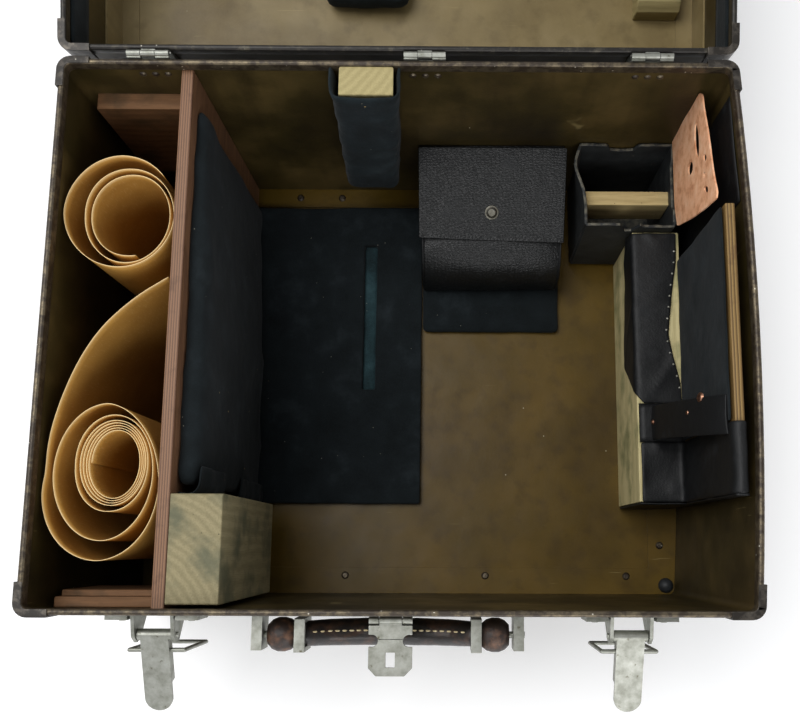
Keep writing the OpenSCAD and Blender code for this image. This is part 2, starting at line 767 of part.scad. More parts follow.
case_walls();
case_floor();
floor_flange();
flange_rivets();
rim_binding();
case_corner_caps();
corner_plug();
hinge_rivets();
divider_board();
divider_pad();
rear_cleat();
front_cleat();
corner_block();
floor_pad();
rear_post();
post_felt();
pouch_base();
pouch_bag();
stud_socket();
pouch_flap();
stud_cap();
accessory_box();
box_divider();
cradle_side();
cradle_shelf();
cradle_end();
wall_board();
board_felt();
cradle_cover();
cradle_apron();
end_strap();
copper_rivets();
leather_partition();
wall_lining();
handle_posts();
handle_knobs();
handle_ferrules();
handle_grip();
hasp_bracket();
hasp_plate();
latch_base_left();
latch_lever_left();
latch_bail_left();
latch_base_right();
latch_lever_right();
latch_bail_right();
case_hinge_leaves();
lid_hinge_leaves();
lid_shell();
lid_rim();
lid_corner_caps();
lid_frame();
lid_seal();
lid_pad();
lid_block();
lid_catches();
hasp_staple();
paper_roll_rear();
paper_roll_front();
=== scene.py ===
"""Open carrying case for a desk instrument: enamelled sheet metal, felt pads, black
leathercloth, plated latches and two paper rolls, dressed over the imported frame."""

import json
import math

import bmesh
import bpy
import numpy as np
from mathutils import Euler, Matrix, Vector, noise


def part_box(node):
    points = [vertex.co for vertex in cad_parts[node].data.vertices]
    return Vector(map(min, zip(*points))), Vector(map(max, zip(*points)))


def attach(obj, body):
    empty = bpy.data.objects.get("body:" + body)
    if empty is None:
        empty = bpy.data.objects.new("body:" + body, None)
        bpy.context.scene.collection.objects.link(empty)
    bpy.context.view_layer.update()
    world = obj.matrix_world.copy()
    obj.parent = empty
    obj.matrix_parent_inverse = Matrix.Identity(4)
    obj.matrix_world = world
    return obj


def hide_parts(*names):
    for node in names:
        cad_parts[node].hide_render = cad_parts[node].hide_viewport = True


MM = 0.001
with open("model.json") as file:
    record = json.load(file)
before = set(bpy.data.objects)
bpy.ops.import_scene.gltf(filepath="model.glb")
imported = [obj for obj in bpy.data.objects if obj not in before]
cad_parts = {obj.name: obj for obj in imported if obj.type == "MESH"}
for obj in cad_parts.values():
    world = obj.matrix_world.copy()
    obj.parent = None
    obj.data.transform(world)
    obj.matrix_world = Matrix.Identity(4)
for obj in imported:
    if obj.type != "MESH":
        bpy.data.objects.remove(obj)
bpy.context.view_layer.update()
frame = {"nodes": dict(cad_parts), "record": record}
cad_nodes = frame["nodes"]


# ---- camera, light and floor ----


def set_camera():
    """Looks almost straight down into the open base."""
    data = bpy.data.cameras.new("camera")
    data.lens = 38.62
    data.sensor_width = 36
    data.shift_x = -0.0746
    data.shift_y = 0.0597
    data.clip_start = 0.01
    camera = bpy.data.objects.new("camera", data)
    bpy.context.scene.collection.objects.link(camera)
    camera.location = (0.0365, -0.1291, 0.6896)
    camera.rotation_euler = Euler((0.155, -0.005, 0.004))
    bpy.context.scene.camera = camera


def add_softbox(name, place, target, size, watts, colour="#ffffff"):
    """Square soft light at place, turned towards target."""
    data = bpy.data.lights.new(name, "AREA")
    data.size = size
    data.energy = watts
    data.color = rgb(colour)[:3]
    lamp = bpy.data.objects.new(name, data)
    bpy.context.scene.collection.objects.link(lamp)
    lamp.location = place
    aim = Vector(target) - Vector(place)
    lamp.rotation_euler = aim.to_track_quat("-Z", "Y").to_euler()


def light_room(tree):
    """A white room whose walls are bright and whose ceiling is dim."""
    back = tree.nodes["Background"]
    way = node(tree, "TexCoord", {}).outputs["Generated"]
    height = node(tree, "SeparateXYZ", {"Vector": way}).outputs["Z"]
    level = node(tree, "MapRange", {"Value": height, "To Min": 1.5, "To Max": 0.12})
    tree.links.new(level.outputs["Result"], back.inputs["Strength"])
    back.inputs["Color"].default_value = rgb("#fbfcff")


# ---- nodes and colours ----


def rgb(hex_colour):
    """An sRGB hex colour as the linear colour that a shader takes."""
    parts = [int(hex_colour[i : i + 2], 16) / 255 for i in (1, 3, 5)]
    linear = [c / 12.92 if c <= 0.04045 else ((c + 0.055) / 1.055) ** 2.4 for c in parts]
    return (*linear, 1.0)


def node(tree, kind, settings):
    """Adds a shader node. A setting is an input's value, a link to it, or a property."""
    made = tree.nodes.new("ShaderNode" + kind)
    for name, value in settings.items():
        if isinstance(name, int) or name in made.inputs:
            if isinstance(value, bpy.types.NodeSocket):
                tree.links.new(value, made.inputs[name])
            else:
                made.inputs[name].default_value = value
        else:
            setattr(made, name, value)
    return made


def blank(name):
    """A new material: its tree, its shader and the coordinates of its points in metres."""
    made = bpy.data.materials.new(name)
    made.use_nodes = True
    tree = made.node_tree
    tree.nodes.clear()
    shader = node(tree, "BsdfPrincipled", {})
    node(tree, "OutputMaterial", {"Surface": shader.outputs["BSDF"]})
    place = node(tree, "TexCoord", {}).outputs["Object"]
    return made, tree, shader, place


def ramp(tree, factor, *stops):
    """Colours at positions along a factor; each stop is a position and a hex colour."""
    made = node(tree, "ValToRGB", {"Fac": factor})
    elements = made.color_ramp.elements
    while len(elements) < len(stops):
        elements.new(0.5)
    for element, (position, colour) in zip(elements, stops):
        element.position = position
        element.color = rgb(colour)
    return made.outputs["Color"]


def grain(tree, place, size_mm, detail=3, stretch=(1, 1, 1), rough=0.55):
    """Noise whose features are about size_mm across, drawn out along stretch."""
    scaled = node(tree, "Mapping", {"Vector": place, "Scale": [1 / s for s in stretch]})
    settings = {
        "Vector": scaled.outputs["Vector"],
        "Scale": 1000 / size_mm,
        "Detail": detail,
        "Roughness": rough,
    }
    return node(tree, "TexNoise", settings).outputs["Fac"]


def step(tree, factor, low, high):
    """0 below low, 1 above high, and a straight slope between."""
    settings = {"Value": factor, "From Min": low, "From Max": high}
    return node(tree, "MapRange", settings).outputs["Result"]


def cover(tree, factor, under, over):
    """The colour over laid on under where factor is 1."""
    settings = {"Fac": factor}
    settings["Color1"] = rgb(under) if isinstance(under, str) else under
    settings["Color2"] = rgb(over) if isinstance(over, str) else over
    return node(tree, "MixRGB", settings).outputs["Color"]


def times(tree, a, b):
    """The product of two factors."""
    return node(tree, "Math", {"operation": "MULTIPLY", 0: a, 1: b}).outputs["Value"]


def specks(tree, place, spacing_mm, size_mm, share):
    """Round dots of about size_mm, one in each of a share of cells of spacing_mm."""
    cells = node(tree, "TexVoronoi", {"Vector": place, "Scale": 1000 / spacing_mm})
    reach = size_mm / spacing_mm / 2
    dot = step(tree, cells.outputs["Distance"], reach, reach * 0.6)
    chosen = node(tree, "SeparateColor", {"Color": cells.outputs["Color"]}).outputs["Red"]
    return times(tree, dot, step(tree, chosen, 1 - share, 1 - share + 0.02))


def relief(tree, shader, *layers):
    """Bumps the surface; each layer is a height factor and its depth in millimetres."""
    below = None
    for height, depth_mm in layers:
        settings = {"Height": height, "Distance": depth_mm * MM, "Strength": 1.0}
        if below is not None:
            settings["Normal"] = below
        below = node(tree, "Bump", settings).outputs["Normal"]
    tree.links.new(below, shader.inputs["Normal"])


def paint(tree, shader, colour=None, rough=None, **fixed):
    """Sets the shader's colour and roughness, and its fixed values by socket name."""
    for socket, value in (("Base Color", colour), ("Roughness", rough)):
        if isinstance(value, bpy.types.NodeSocket):
            tree.links.new(value, shader.inputs[socket])
        elif value is not None:
            shader.inputs[socket].default_value = value
    for name, value in fixed.items():
        shader.inputs[name.replace("_", " ")].default_value = value


def facing_up(tree):
    """1 on faces that look up, 0 on upright ones."""
    normal = node(tree, "NewGeometry", {}).outputs["Normal"]
    height = node(tree, "SeparateXYZ", {"Vector": normal}).outputs["Z"]
    return step(tree, height, 0.5, 0.9)


# ---- materials ----


def stoved_enamel(name, dark, mid, light, stain="#2a1d14", wear=0.1):
    """Satin olive-brown stoving enamel on steel sheet: cloudy where oil and smoke have
    stained it, with runs down the walls, lint, and small chips down to the primer."""
    made, tree, shader, place = blank(name)
    cloud = grain(tree, place, 70, 5)
    base = ramp(tree, cloud, (0.3, dark), (0.5, mid), (0.72, light))
    runs = step(tree, grain(tree, place, 14, 4, (1, 1, 9)), 0.5, 0.75)
    base = cover(tree, times(tree, runs, 0.45), base, stain)
    patches = step(tree, grain(tree, place, 110, 4), 0.5, 0.68)
    base = cover(tree, times(tree, patches, 0.55), base, stain)
    fine = step(tree, grain(tree, place, 1.6, 2), 0.25, 0.8)
    base = cover(tree, times(tree, fine, 0.14), base, light)
    scratch = step(tree, grain(tree, place, 5, 3, (9, 0.35, 9)), 0.71, 0.74)
    base = cover(tree, times(tree, scratch, 0.35), base, "#a89868")
    base = cover(tree, specks(tree, place, 16, 1.1, wear), base, "#c9c2a8")
    rough = step(tree, grain(tree, place, 30, 4), 0.1, 1.1)
    sheen = node(tree, "MapRange", {"Value": rough, "To Min": 0.3, "To Max": 0.56})
    paint(tree, shader, base, sheen.outputs["Result"], Specular_IOR_Level=0.22)
    relief(tree, shader, (grain(tree, place, 2.2, 2), 0.05), (grain(tree, place, 45, 2), 0.7))
    return made


def rolled_edge_metal(name, bare="#a59b88", tarnish="#4f4436", share=0.5):
    """Rolled steel edge: bright where cases have rubbed it, brown where it still has its
    lacquer, and nicked white along its crown."""
    made, tree, shader, place = blank(name)
    rub = step(tree, grain(tree, place, 6, 5, (1, 1, 1), 0.7), share - 0.1, share + 0.12)
    base = cover(tree, rub, tarnish, bare)
    base = cover(tree, times(tree, specks(tree, place, 5, 1.1, 0.25), 0.8), base, "#d8d2c2")
    dark = step(tree, grain(tree, place, 3, 3), 0.6, 0.75)
    base = cover(tree, times(tree, dark, 0.5), base, "#2c251c")
    metal = node(tree, "MapRange", {"Value": rub, "To Min": 0.35, "To Max": 0.9})
    tree.links.new(metal.outputs["Result"], shader.inputs["Metallic"])
    paint(tree, shader, base, 0.42)
    relief(tree, shader, (grain(tree, place, 3.5, 4), 0.25))
    return made


def zinc_plate(name, bright="#9b9c94", dull="#7f8076", spot="#5f5b4b"):
    """Zinc-plated pressed steel: dull silver, cloudy from handling, with brown spots in
    its corners and drawn lines just under a millimetre apart."""
    made, tree, shader, place = blank(name)
    cloud = grain(tree, place, 7, 5, rough=0.65)
    base = ramp(tree, cloud, (0.3, dull), (0.55, bright), (0.8, "#abaca5"))
    base = cover(tree, step(tree, grain(tree, place, 4, 4), 0.64, 0.74), base, spot)
    paint(tree, shader, base, None, Metallic=1.0)
    rough = node(tree, "MapRange", {"Value": cloud, "To Min": 0.58, "To Max": 0.42})
    tree.links.new(rough.outputs["Result"], shader.inputs["Roughness"])
    lines = grain(tree, place, 0.9, 2, (12, 1, 1))
    relief(tree, shader, (lines, 0.03), (grain(tree, place, 6, 2), 0.12))
    return made


def wool_felt(name, base="#171c1e", worn="#262c2f", lint=0.4):
    """Blue-black wool felt: matt, matted in clouds, greyer where it has rubbed, with pale
    lint and dust caught in the nap. The fibres show as fuzz under a millimetre across."""
    made, tree, shader, place = blank(name)
    matted = grain(tree, place, 22, 5, rough=0.62)
    colour = ramp(tree, matted, (0.3, "#111516"), (0.55, base), (0.8, worn))
    nap = step(tree, grain(tree, place, 0.8, 3), 0.45, 0.75)
    colour = cover(tree, times(tree, nap, 0.35), colour, worn)
    colour = cover(tree, specks(tree, place, 7, 0.7, lint), colour, "#9c9a8c")
    colour = cover(tree, specks(tree, place, 19, 1.3, 0.4), colour, "#a58f62")
    paint(tree, shader, colour, 0.95, Specular_IOR_Level=0.1)
    paint(tree, shader, Sheen_Weight=0.04, Sheen_Roughness=0.5)
    relief(tree, shader, (grain(tree, place, 0.7, 3), 0.12), (grain(tree, place, 9, 3), 0.5))
    return made


def leathercloth(name, base="#0a0b0c", ridge_mm=1.3, gloss=0.52, emboss_mm=0.04):
    """Black leathercloth: a coated cotton embossed with a small cross grain, so it takes
    short broken highlights, and goes grey where the coating thins."""
    made, tree, shader, place = blank(name)
    drawn = node(tree, "Mapping", {"Vector": place, "Scale": (0.62, 1, 1)}).outputs["Vector"]
    settings = {"Vector": drawn, "Scale": 1000 / ridge_mm, "feature": "DISTANCE_TO_EDGE"}
    settings["Randomness"] = 0.75
    emboss = step(tree, node(tree, "TexVoronoi", settings).outputs["Distance"], 0.02, 0.28)
    colour = cover(tree, times(tree, emboss, 0.2), base, "#26282a")
    thin = step(tree, grain(tree, place, 16, 5), 0.58, 0.8)
    colour = cover(tree, times(tree, thin, 0.4), colour, "#303234")
    colour = cover(tree, specks(tree, place, 14, 0.6, 0.25), colour, "#86837a")
    rough = node(tree, "MapRange", {"Value": thin, "To Min": gloss, "To Max": gloss + 0.2})
    paint(tree, shader, colour, rough.outputs["Result"], Specular_IOR_Level=0.32)
    relief(tree, shader, (emboss, emboss_mm), (grain(tree, place, 5, 3), 0.25))
    return made


def saddle_leather(name, base, dark, light, gloss=0.5):
    """Vegetable-tanned leather: clouded and scuffed, with pores about 0.6 mm apart."""
    made, tree, shader, place = blank(name)
    cloud = grain(tree, place, 9, 6, rough=0.65)
    colour = ramp(tree, cloud, (0.28, dark), (0.5, base), (0.74, light))
    scuff = step(tree, grain(tree, place, 4, 4, (1, 3, 1)), 0.6, 0.72)
    colour = cover(tree, times(tree, scuff, 0.4), colour, dark)
    paint(tree, shader, colour, gloss, Specular_IOR_Level=0.4)
    pores = node(tree, "TexVoronoi", {"Vector": place, "Scale": 1600}).outputs["Distance"]
    relief(tree, shader, (pores, 0.06), (grain(tree, place, 3, 4), 0.25))
    return made


def timber(name, along, early, late, stain, stain_share=0.5, centre=(0, 0, 0)):
    """Sawn softwood: rings nearly 5 mm apart round a heart at centre, lines along the grain,
    and green-grey stain where it has been damp. Its end grain shows the rings."""
    made, tree, shader, place = blank(name)
    settings = {"Vector": place, "Location": [-c for c in centre]}
    moved = node(tree, "Mapping", settings).outputs["Vector"]
    rings = {"Vector": moved, "wave_type": "RINGS", "rings_direction": along}
    rings.update({"Scale": 1000 / 2.4 / 6.28, "Distortion": 3, "Detail": 3, "Detail Scale": 0.8})
    ring = node(tree, "TexWave", rings).outputs["Fac"]
    colour = ramp(tree, ring, (0.0, early), (1.0, late))
    colour = node(tree, "MixRGB", {"Fac": 0.68, "Color1": colour, "Color2": rgb(early)}).outputs["Color"]
    stretch = [22 if axis == along else 1 for axis in "XYZ"]
    fibre = grain(tree, place, 0.9, 4, stretch, 0.7)
    colour = cover(tree, times(tree, step(tree, fibre, 0.45, 0.75), 0.5), colour, late)
    damp = step(tree, grain(tree, place, 26, 5), stain_share, stain_share + 0.18)
    colour = cover(tree, times(tree, damp, 0.75), colour, stain)
    colour = cover(tree, specks(tree, place, 5, 0.9, 0.2), colour, "#2e2a1c")
    paint(tree, shader, colour, 0.66, Specular_IOR_Level=0.3)
    relief(tree, shader, (fibre, 0.18), (ring, 0.1))
    return made


def plywood(name, face, ply, glue, start_x, pitch_mm=1.5):
    """Birch plywood set on edge: its top shows plies of pitch_mm between dark glue lines,
    its faces a rotary-cut figure under old varnish."""
    made, tree, shader, place = blank(name)
    x = node(tree, "SeparateXYZ", {"Vector": place}).outputs["X"]
    shifted = node(tree, "Math", {"operation": "SUBTRACT", 0: x, 1: start_x})
    turns = node(tree, "Math", {"operation": "DIVIDE", 0: shifted.outputs[0], 1: pitch_mm * MM})
    wobble = times(tree, grain(tree, place, 12, 3, (1, 3, 1)), 0.35)
    part = node(tree, "Math", {"operation": "ADD", 0: turns.outputs[0], 1: wobble})
    part = node(tree, "Math", {"operation": "FRACT", 0: part.outputs[0]}).outputs[0]
    plies = ramp(tree, part, (0.0, glue), (0.16, ply), (0.6, face), (0.94, glue))
    figure = grain(tree, place, 5, 5, (1, 10, 1), 0.65)
    sides = ramp(tree, figure, (0.3, glue), (0.55, face), (0.78, ply))
    colour = cover(tree, facing_up(tree), sides, plies)
    dirt = step(tree, grain(tree, place, 11, 5), 0.56, 0.76)
    colour = cover(tree, times(tree, dirt, 0.6), colour, "#4a2f1c")
    paint(tree, shader, colour, 0.55, Specular_IOR_Level=0.4)
    relief(tree, shader, (part, 0.1), (figure, 0.15))
    return made


def kraft_paper(name, base="#ba8c42", shade="#a07433", edge="#e8cd98"):
    """Machine-glazed kraft paper, browned with age: soft clouds, fibres under a
    millimetre wide, and a cut edge that looks paler than its faces."""
    made, tree, shader, place = blank(name)
    cloud = grain(tree, place, 40, 4)
    colour = ramp(tree, cloud, (0.3, shade), (0.7, base))
    fibres = step(tree, grain(tree, place, 0.8, 3, (1, 1, 5)), 0.55, 0.75)
    colour = cover(tree, times(tree, fibres, 0.18), colour, edge)
    colour = cover(tree, facing_up(tree), colour, edge)
    paint(tree, shader, colour, 0.62, Specular_IOR_Level=0.3)
    relief(tree, shader, (grain(tree, place, 0.8, 2), 0.02), (grain(tree, place, 30, 2), 0.3))
    return made


def covered_board(name):
    """Black book-cloth over fibre board: dull, rubbed grey-brown along its torn edges."""
    made, tree, shader, place = blank(name)
    cloud = grain(tree, place, 12, 5)
    colour = ramp(tree, cloud, (0.3, "#17191a"), (0.6, "#26292a"), (0.85, "#3a3b38"))
    worn = times(tree, facing_up(tree), step(tree, grain(tree, place, 5, 4), 0.4, 0.6))
    colour = cover(tree, worn, colour, "#5d5a4e")
    colour = cover(tree, specks(tree, place, 9, 0.8, 0.3), colour, "#8e8a7a")
    paint(tree, shader, colour, 0.6, Specular_IOR_Level=0.4)
    relief(tree, shader, (grain(tree, place, 0.9, 2), 0.08), (grain(tree, place, 10, 3), 0.4))
    return made


def old_copper(name):
    """Copper rivet heads: warm and rubbed on the crown, brown round the rim."""
    made, tree, shader, place = blank(name)
    colour = ramp(tree, grain(tree, place, 2, 4), (0.35, "#6d4c3a"), (0.6, "#a9806a"))
    paint(tree, shader, colour, 0.4, Metallic=1.0)
    relief(tree, shader, (grain(tree, place, 1.5, 3), 0.08))
    return made


def black_rubber(name):
    """Moulded rubber: soft black with a faint grey bloom."""
    made, tree, shader, place = blank(name)
    colour = ramp(tree, grain(tree, place, 4, 4), (0.3, "#101214"), (0.7, "#25282b"))
    paint(tree, shader, colour, 0.6)
    relief(tree, shader, (grain(tree, place, 1, 2), 0.05))
    return made


def linen_thread(name):
    """Waxed linen thread: cream, greyed by handling, with its twist as a fine bump."""
    made, tree, shader, place = blank(name)
    colour = ramp(tree, grain(tree, place, 2, 3), (0.3, "#a8946c"), (0.7, "#d9cba4"))
    paint(tree, shader, colour, 0.7)
    relief(tree, shader, (grain(tree, place, 0.5, 2, (3, 1, 1)), 0.06))
    return made


def studio_floor(name):
    """Matt white studio paper."""
    made, tree, shader, place = blank(name)
    colour = ramp(tree, grain(tree, place, 200, 2), (0.0, "#f4f4f4"), (1.0, "#f8f8f8"))
    paint(tree, shader, colour, 0.9, Specular_IOR_Level=0.1, Emission_Strength=0.14)
    shader.inputs["Emission Color"].default_value = rgb("#ffffff")
    return made


# ---- shapes ----


def piece(name, verts, faces, material, body, replaced=()):
    """A smooth-shaded object in metres that rides on body and stands for CAD nodes."""
    mesh = bpy.data.meshes.new(name)
    mesh.from_pydata([tuple(map(float, v)) for v in verts], [], faces)
    mesh.materials.append(material)
    mesh.validate()
    made = bpy.data.objects.new(name, mesh)
    bpy.context.scene.collection.objects.link(made)
    finish_piece(made, body, replaced)
    return made


def finish_piece(made, body, replaced=()):
    """Smooth shading, its body and the CAD nodes that it stands for."""
    made.data.polygons.foreach_set("use_smooth", [True] * len(made.data.polygons))
    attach(made, body)
    if replaced:
        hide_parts(*replaced)


def keep_result(made):
    """Turns an object's modifiers into its mesh."""
    graph = bpy.context.evaluated_depsgraph_get()
    result = bpy.data.meshes.new_from_object(made.evaluated_get(graph))
    made.modifiers.clear()
    made.data = result


def soften(made, levels=1):
    """Subdivides smoothly when the piece is drawn."""
    made.modifiers.new("soften", "SUBSURF").levels = levels
    made.modifiers["soften"].render_levels = levels


def round_edges(made, width_mm, angle=35, segments=2):
    """Bevels the edges that turn by more than angle degrees."""
    bevel = made.modifiers.new("edges", "BEVEL")
    bevel.width = width_mm * MM
    bevel.segments = segments
    bevel.limit_method = "ANGLE"
    bevel.angle_limit = math.radians(angle)
    made.modifiers.new("shading", "WEIGHTED_NORMAL").keep_sharp = False


def dress(material, width_mm, *names):
    """Gives CAD nodes a material and worn, rounded edges. Their shape is kept."""
    for name in names:
        cad = cad_nodes[name]
        cad.data.materials.clear()
        cad.data.materials.append(material)
        if "custom_normal" in cad.data.attributes:
            cad.data.attributes.remove(cad.data.attributes["custom_normal"])
        cad.data.polygons.foreach_set("use_smooth", [True] * len(cad.data.polygons))
        cad.modifiers.new("weld", "WELD").merge_threshold = 1e-5
        round_edges(cad, width_mm)


def line_faces(name, material, way):
    """Gives the faces of a CAD node that look along way, as the part stands, a material."""
    cad = cad_nodes[name]
    cad.data.materials.append(material)
    for face in cad.data.polygons:
        if face.normal.dot(way) > 0.6:
            face.material_index = len(cad.data.materials) - 1


def resample(path, spacing, roundings=2):
    """Even points along a polyline whose corners have been cut a number of times."""
    points = np.array(path, float)
    for _ in range(roundings):
        a, b = points[:-1], points[1:]
        cut = np.stack([a * 0.75 + b * 0.25, a * 0.25 + b * 0.75], 1).reshape(-1, points.shape[1])
        points = np.vstack([points[:1], cut, points[-1:]])
    walk = np.r_[0, np.cumsum(np.linalg.norm(np.diff(points, axis=0), axis=1))]
    even = np.linspace(0, walk[-1], max(3, round(walk[-1] / spacing)))
    return np.stack([np.interp(even, walk, points[:, k]) for k in range(points.shape[1])], 1)


def thick_sheet(grid, thick):
    """Verts and quads of a closed sheet round a grid of points, shape (n, m, 3)."""
    grid = np.asarray(grid, float)
    n, m = grid.shape[:2]
    normal = np.cross(np.gradient(grid, axis=0), np.gradient(grid, axis=1))
    normal /= np.maximum(np.linalg.norm(normal, axis=2, keepdims=True), 1e-12)
    half = np.asarray(thick, float) / 2
    if half.ndim:
        half = half[..., None]
    verts = np.vstack([(grid + normal * half).reshape(-1, 3), (grid - normal * half).reshape(-1, 3)])
    index = np.arange(n * m).reshape(n, m)
    a, b, c, d = index[:-1, :-1], index[1:, :-1], index[1:, 1:], index[:-1, 1:]
    top = np.stack([a, b, c, d], 2).reshape(-1, 4)
    loop = np.concatenate([index[:, 0], index[-1, 1:], index[-2::-1, -1], index[0, -2:0:-1]])
    after = np.roll(loop, -1)
    rim = np.stack([loop, loop + n * m, after + n * m, after], 1)
    return verts, np.vstack([top, top[:, ::-1] + n * m, rim]).tolist()


def ripple(points, size_mm, depth_mm, seed, stretch=(1, 1, 1)):
    """Smooth noise heights in metres for points, from features of about size_mm."""
    scale = 1 / (size_mm * MM)
    shift = Vector((seed * 3.1, seed * 1.7, seed * 0.9))
    return np.array([
        noise.noise(Vector((p[0] / stretch[0], p[1] / stretch[1], p[2] / stretch[2])) * scale + shift)
        for p in points
    ]) * depth_mm * MM


def billow(points, size_mm, depth_mm, seed, stretch=(1, 1, 1)):
    """Smooth noise heights that only stand out, from 0 to depth_mm."""
    return ripple(points, size_mm, depth_mm / 2, seed, stretch) + depth_mm * MM / 2


def crease(points, size_mm, depth_mm, seed, stretch=(1, 1, 1)):
    """Narrow folds: the lines along which smooth noise changes sign stand up."""
    smooth = ripple(points, size_mm, 1.0 / MM, seed, stretch)
    return np.clip(1 - np.abs(smooth) * 5, 0, 1) ** 2 * depth_mm * MM


def disturb(made, *layers):
    """Moves a mesh's points along its normals by the sum of height functions."""
    mesh = made.data
    count = len(mesh.vertices)
    points = np.empty(count * 3)
    mesh.vertices.foreach_get("co", points)
    points = points.reshape(-1, 3)
    normals = np.array([v.normal for v in mesh.vertices])
    height = sum(layer(points) for layer in layers)
    mesh.vertices.foreach_set("co", (points + normals * height[:, None]).ravel())
    mesh.update()


def taken_apart(mesh):
    """Verts and faces of a bmesh, which is then freed."""
    mesh.verts.index_update()
    verts = [tuple(v.co) for v in mesh.verts]
    faces = [[v.index for v in f.verts] for f in mesh.faces]
    mesh.free()
    return verts, faces


def rounded_block(low, high, radius, cell):
    """Verts and quads of a box with rounded edges, in cells of about one size."""
    low, high = np.array(low, float), np.array(high, float)
    counts = np.maximum(2, np.round((high - low) / cell).astype(int))
    mesh = bmesh.new()
    axes = [np.linspace(low[k], high[k], counts[k] + 1) for k in range(3)]
    for k in range(3):
        u, v = [j for j in range(3) if j != k]
        for side in (0, -1):
            rows = []
            for p in axes[u]:
                row = []
                for q in axes[v]:
                    point = [0.0] * 3
                    point[k], point[u], point[v] = axes[k][side], p, q
                    row.append(mesh.verts.new(point))
                rows.append(row)
            for i in range(counts[u]):
                for j in range(counts[v]):
                    mesh.faces.new([rows[i][j], rows[i + 1][j], rows[i + 1][j + 1], rows[i][j + 1]])
    bmesh.ops.remove_doubles(mesh, verts=mesh.verts, dist=1e-6)
    bmesh.ops.recalc_face_normals(mesh, faces=mesh.faces)
    radius = min(radius, (high - low).min() / 2 - 1e-5)
    for v in mesh.verts:
        core = np.clip(v.co, low + radius, high - radius)
        out = np.array(v.co) - core
        v.co = core + out / max(np.linalg.norm(out), 1e-9) * radius
    return taken_apart(mesh)


def swell(made, voxel_mm, pressure, cap_mm):
    """Lets a closed pad swell under its own pressure, no further than cap_mm."""
    remesh = made.modifiers.new("remesh", "REMESH")
    remesh.mode = "VOXEL"
    remesh.voxel_size = voxel_mm * MM
    keep_result(made)
    before = np.array([v.co for v in made.data.vertices])
    cloth = made.modifiers.new("cloth", "CLOTH").settings
    cloth.use_pressure = True
    cloth.uniform_pressure_force = pressure
    cloth.effector_weights.gravity = 0
    cloth.mass = 0.2
    for number in range(1, 21):
        bpy.context.scene.frame_set(number)
    keep_result(made)
    bpy.context.scene.frame_set(1)
    after = np.array([v.co for v in made.data.vertices])
    move = after - before
    size = np.linalg.norm(move, axis=1, keepdims=True)
    move *= np.minimum(1, cap_mm * MM / np.maximum(size, 1e-9))
    made.data.vertices.foreach_set("co", (before + move).ravel())
    made.data.update()
    made.data.polygons.foreach_set("use_smooth", [True] * len(made.data.polygons))


def puffed(grid, wave):
    """A grid of points moved along its normals by a height function."""
    flat = grid.reshape(-1, 3)
    normal = np.cross(np.gradient(grid, axis=0), np.gradient(grid, axis=1)).reshape(-1, 3)
    normal /= np.maximum(np.linalg.norm(normal, axis=1, keepdims=True), 1e-12)
    return (flat + normal * wave(flat)[:, None]).reshape(grid.shape)


def extrude_path(path, span, place, spacing_mm=3, wave=None):
    """Grid of points: path in a plane, repeated along span, put in space by place."""
    line = resample(path, spacing_mm * MM)
    steps = np.linspace(span[0], span[1], max(2, round((span[1] - span[0]) / (spacing_mm * MM)) + 1))
    grid = np.array([[place(a, b, s) for s in steps] for a, b in line])
    return grid if wave is None else puffed(grid, wave)


# ---- pieces ----

felt = wool_felt("blue_black_wool_felt")
pale_felt = wool_felt("rubbed_wool_felt", "#1b2225", "#2d3538", 0.5)
teal_felt = wool_felt("unfaded_teal_felt", "#24373b", "#3a5257", 0.5)
black_cloth = leathercloth("black_leathercloth")
lizard_cloth = leathercloth("cross_grain_leathercloth", "#141515", 1.7, 0.38, 0.12)
HINGE_LINE = Vector((0, 172, 196)) * MM
LID_TURN = Euler((-math.radians(170), 0, 0)).to_matrix()


def divider_pad():
    """Felt-covered pad on the divider, thinner towards the back, swollen and creased."""
    low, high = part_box("divider_pad")
    low_room = Vector((0, 2, 1)) * MM
    high_room = Vector((1.5, 2, 1)) * MM
    verts, faces = rounded_block(low + low_room, high - high_room, 4 * MM, 5 * MM)
    depth = high.y - low.y
    taper = lambda y: np.interp((y - low.y) / depth, (0, 0.37, 0.65, 1), (1, 1, 0.77, 0.42))
    verts = [(low.x + (x - low.x) * taper(y), y, z) for x, y, z in verts]
    made = piece("divider_pad_cover", verts, faces, felt, "case", ["divider_pad"])
    swell(made, 4, 4, 2)
    disturb(
        made,
        lambda p: crease(p, 60, 1.6, 2, (1, 1, 2.5)),
        lambda p: ripple(p, 24, 1.0, 3, (1, 1, 2)),
        lambda p: ripple(p, 7, 0.35, 5),
    )
    soften(made)


def divider_pad_ears():
    """Two corners of the pad's covering, folded over at its front end."""
    low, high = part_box("divider_pad")
    width = high.x - low.x
    lower_fold = (low.z + 2 * MM, low.z + 74 * MM)
    upper_fold = (high.z - 60 * MM, high.z - 3 * MM)
    for index, (z0, z1) in enumerate((lower_fold, upper_fold)):
        path = [(low.x + 1 * MM, low.y - 2 * MM), (low.x + width * 0.5, low.y - 3.5 * MM),
                (high.x + 1 * MM, low.y - 1 * MM), (high.x + 1.5 * MM, low.y + 14 * MM)]
        grid = extrude_path(path, (z0, z1), lambda a, b, s: (a, b, s), 3,
                            lambda p: ripple(p, 14, 1.4, 8 + index) + crease(p, 30, 1.2, 4))
        verts, faces = thick_sheet(grid, 1.4 * MM)
        made = piece(f"divider_pad_fold_{index + 1}", verts, faces, felt, "case")
        soften(made)


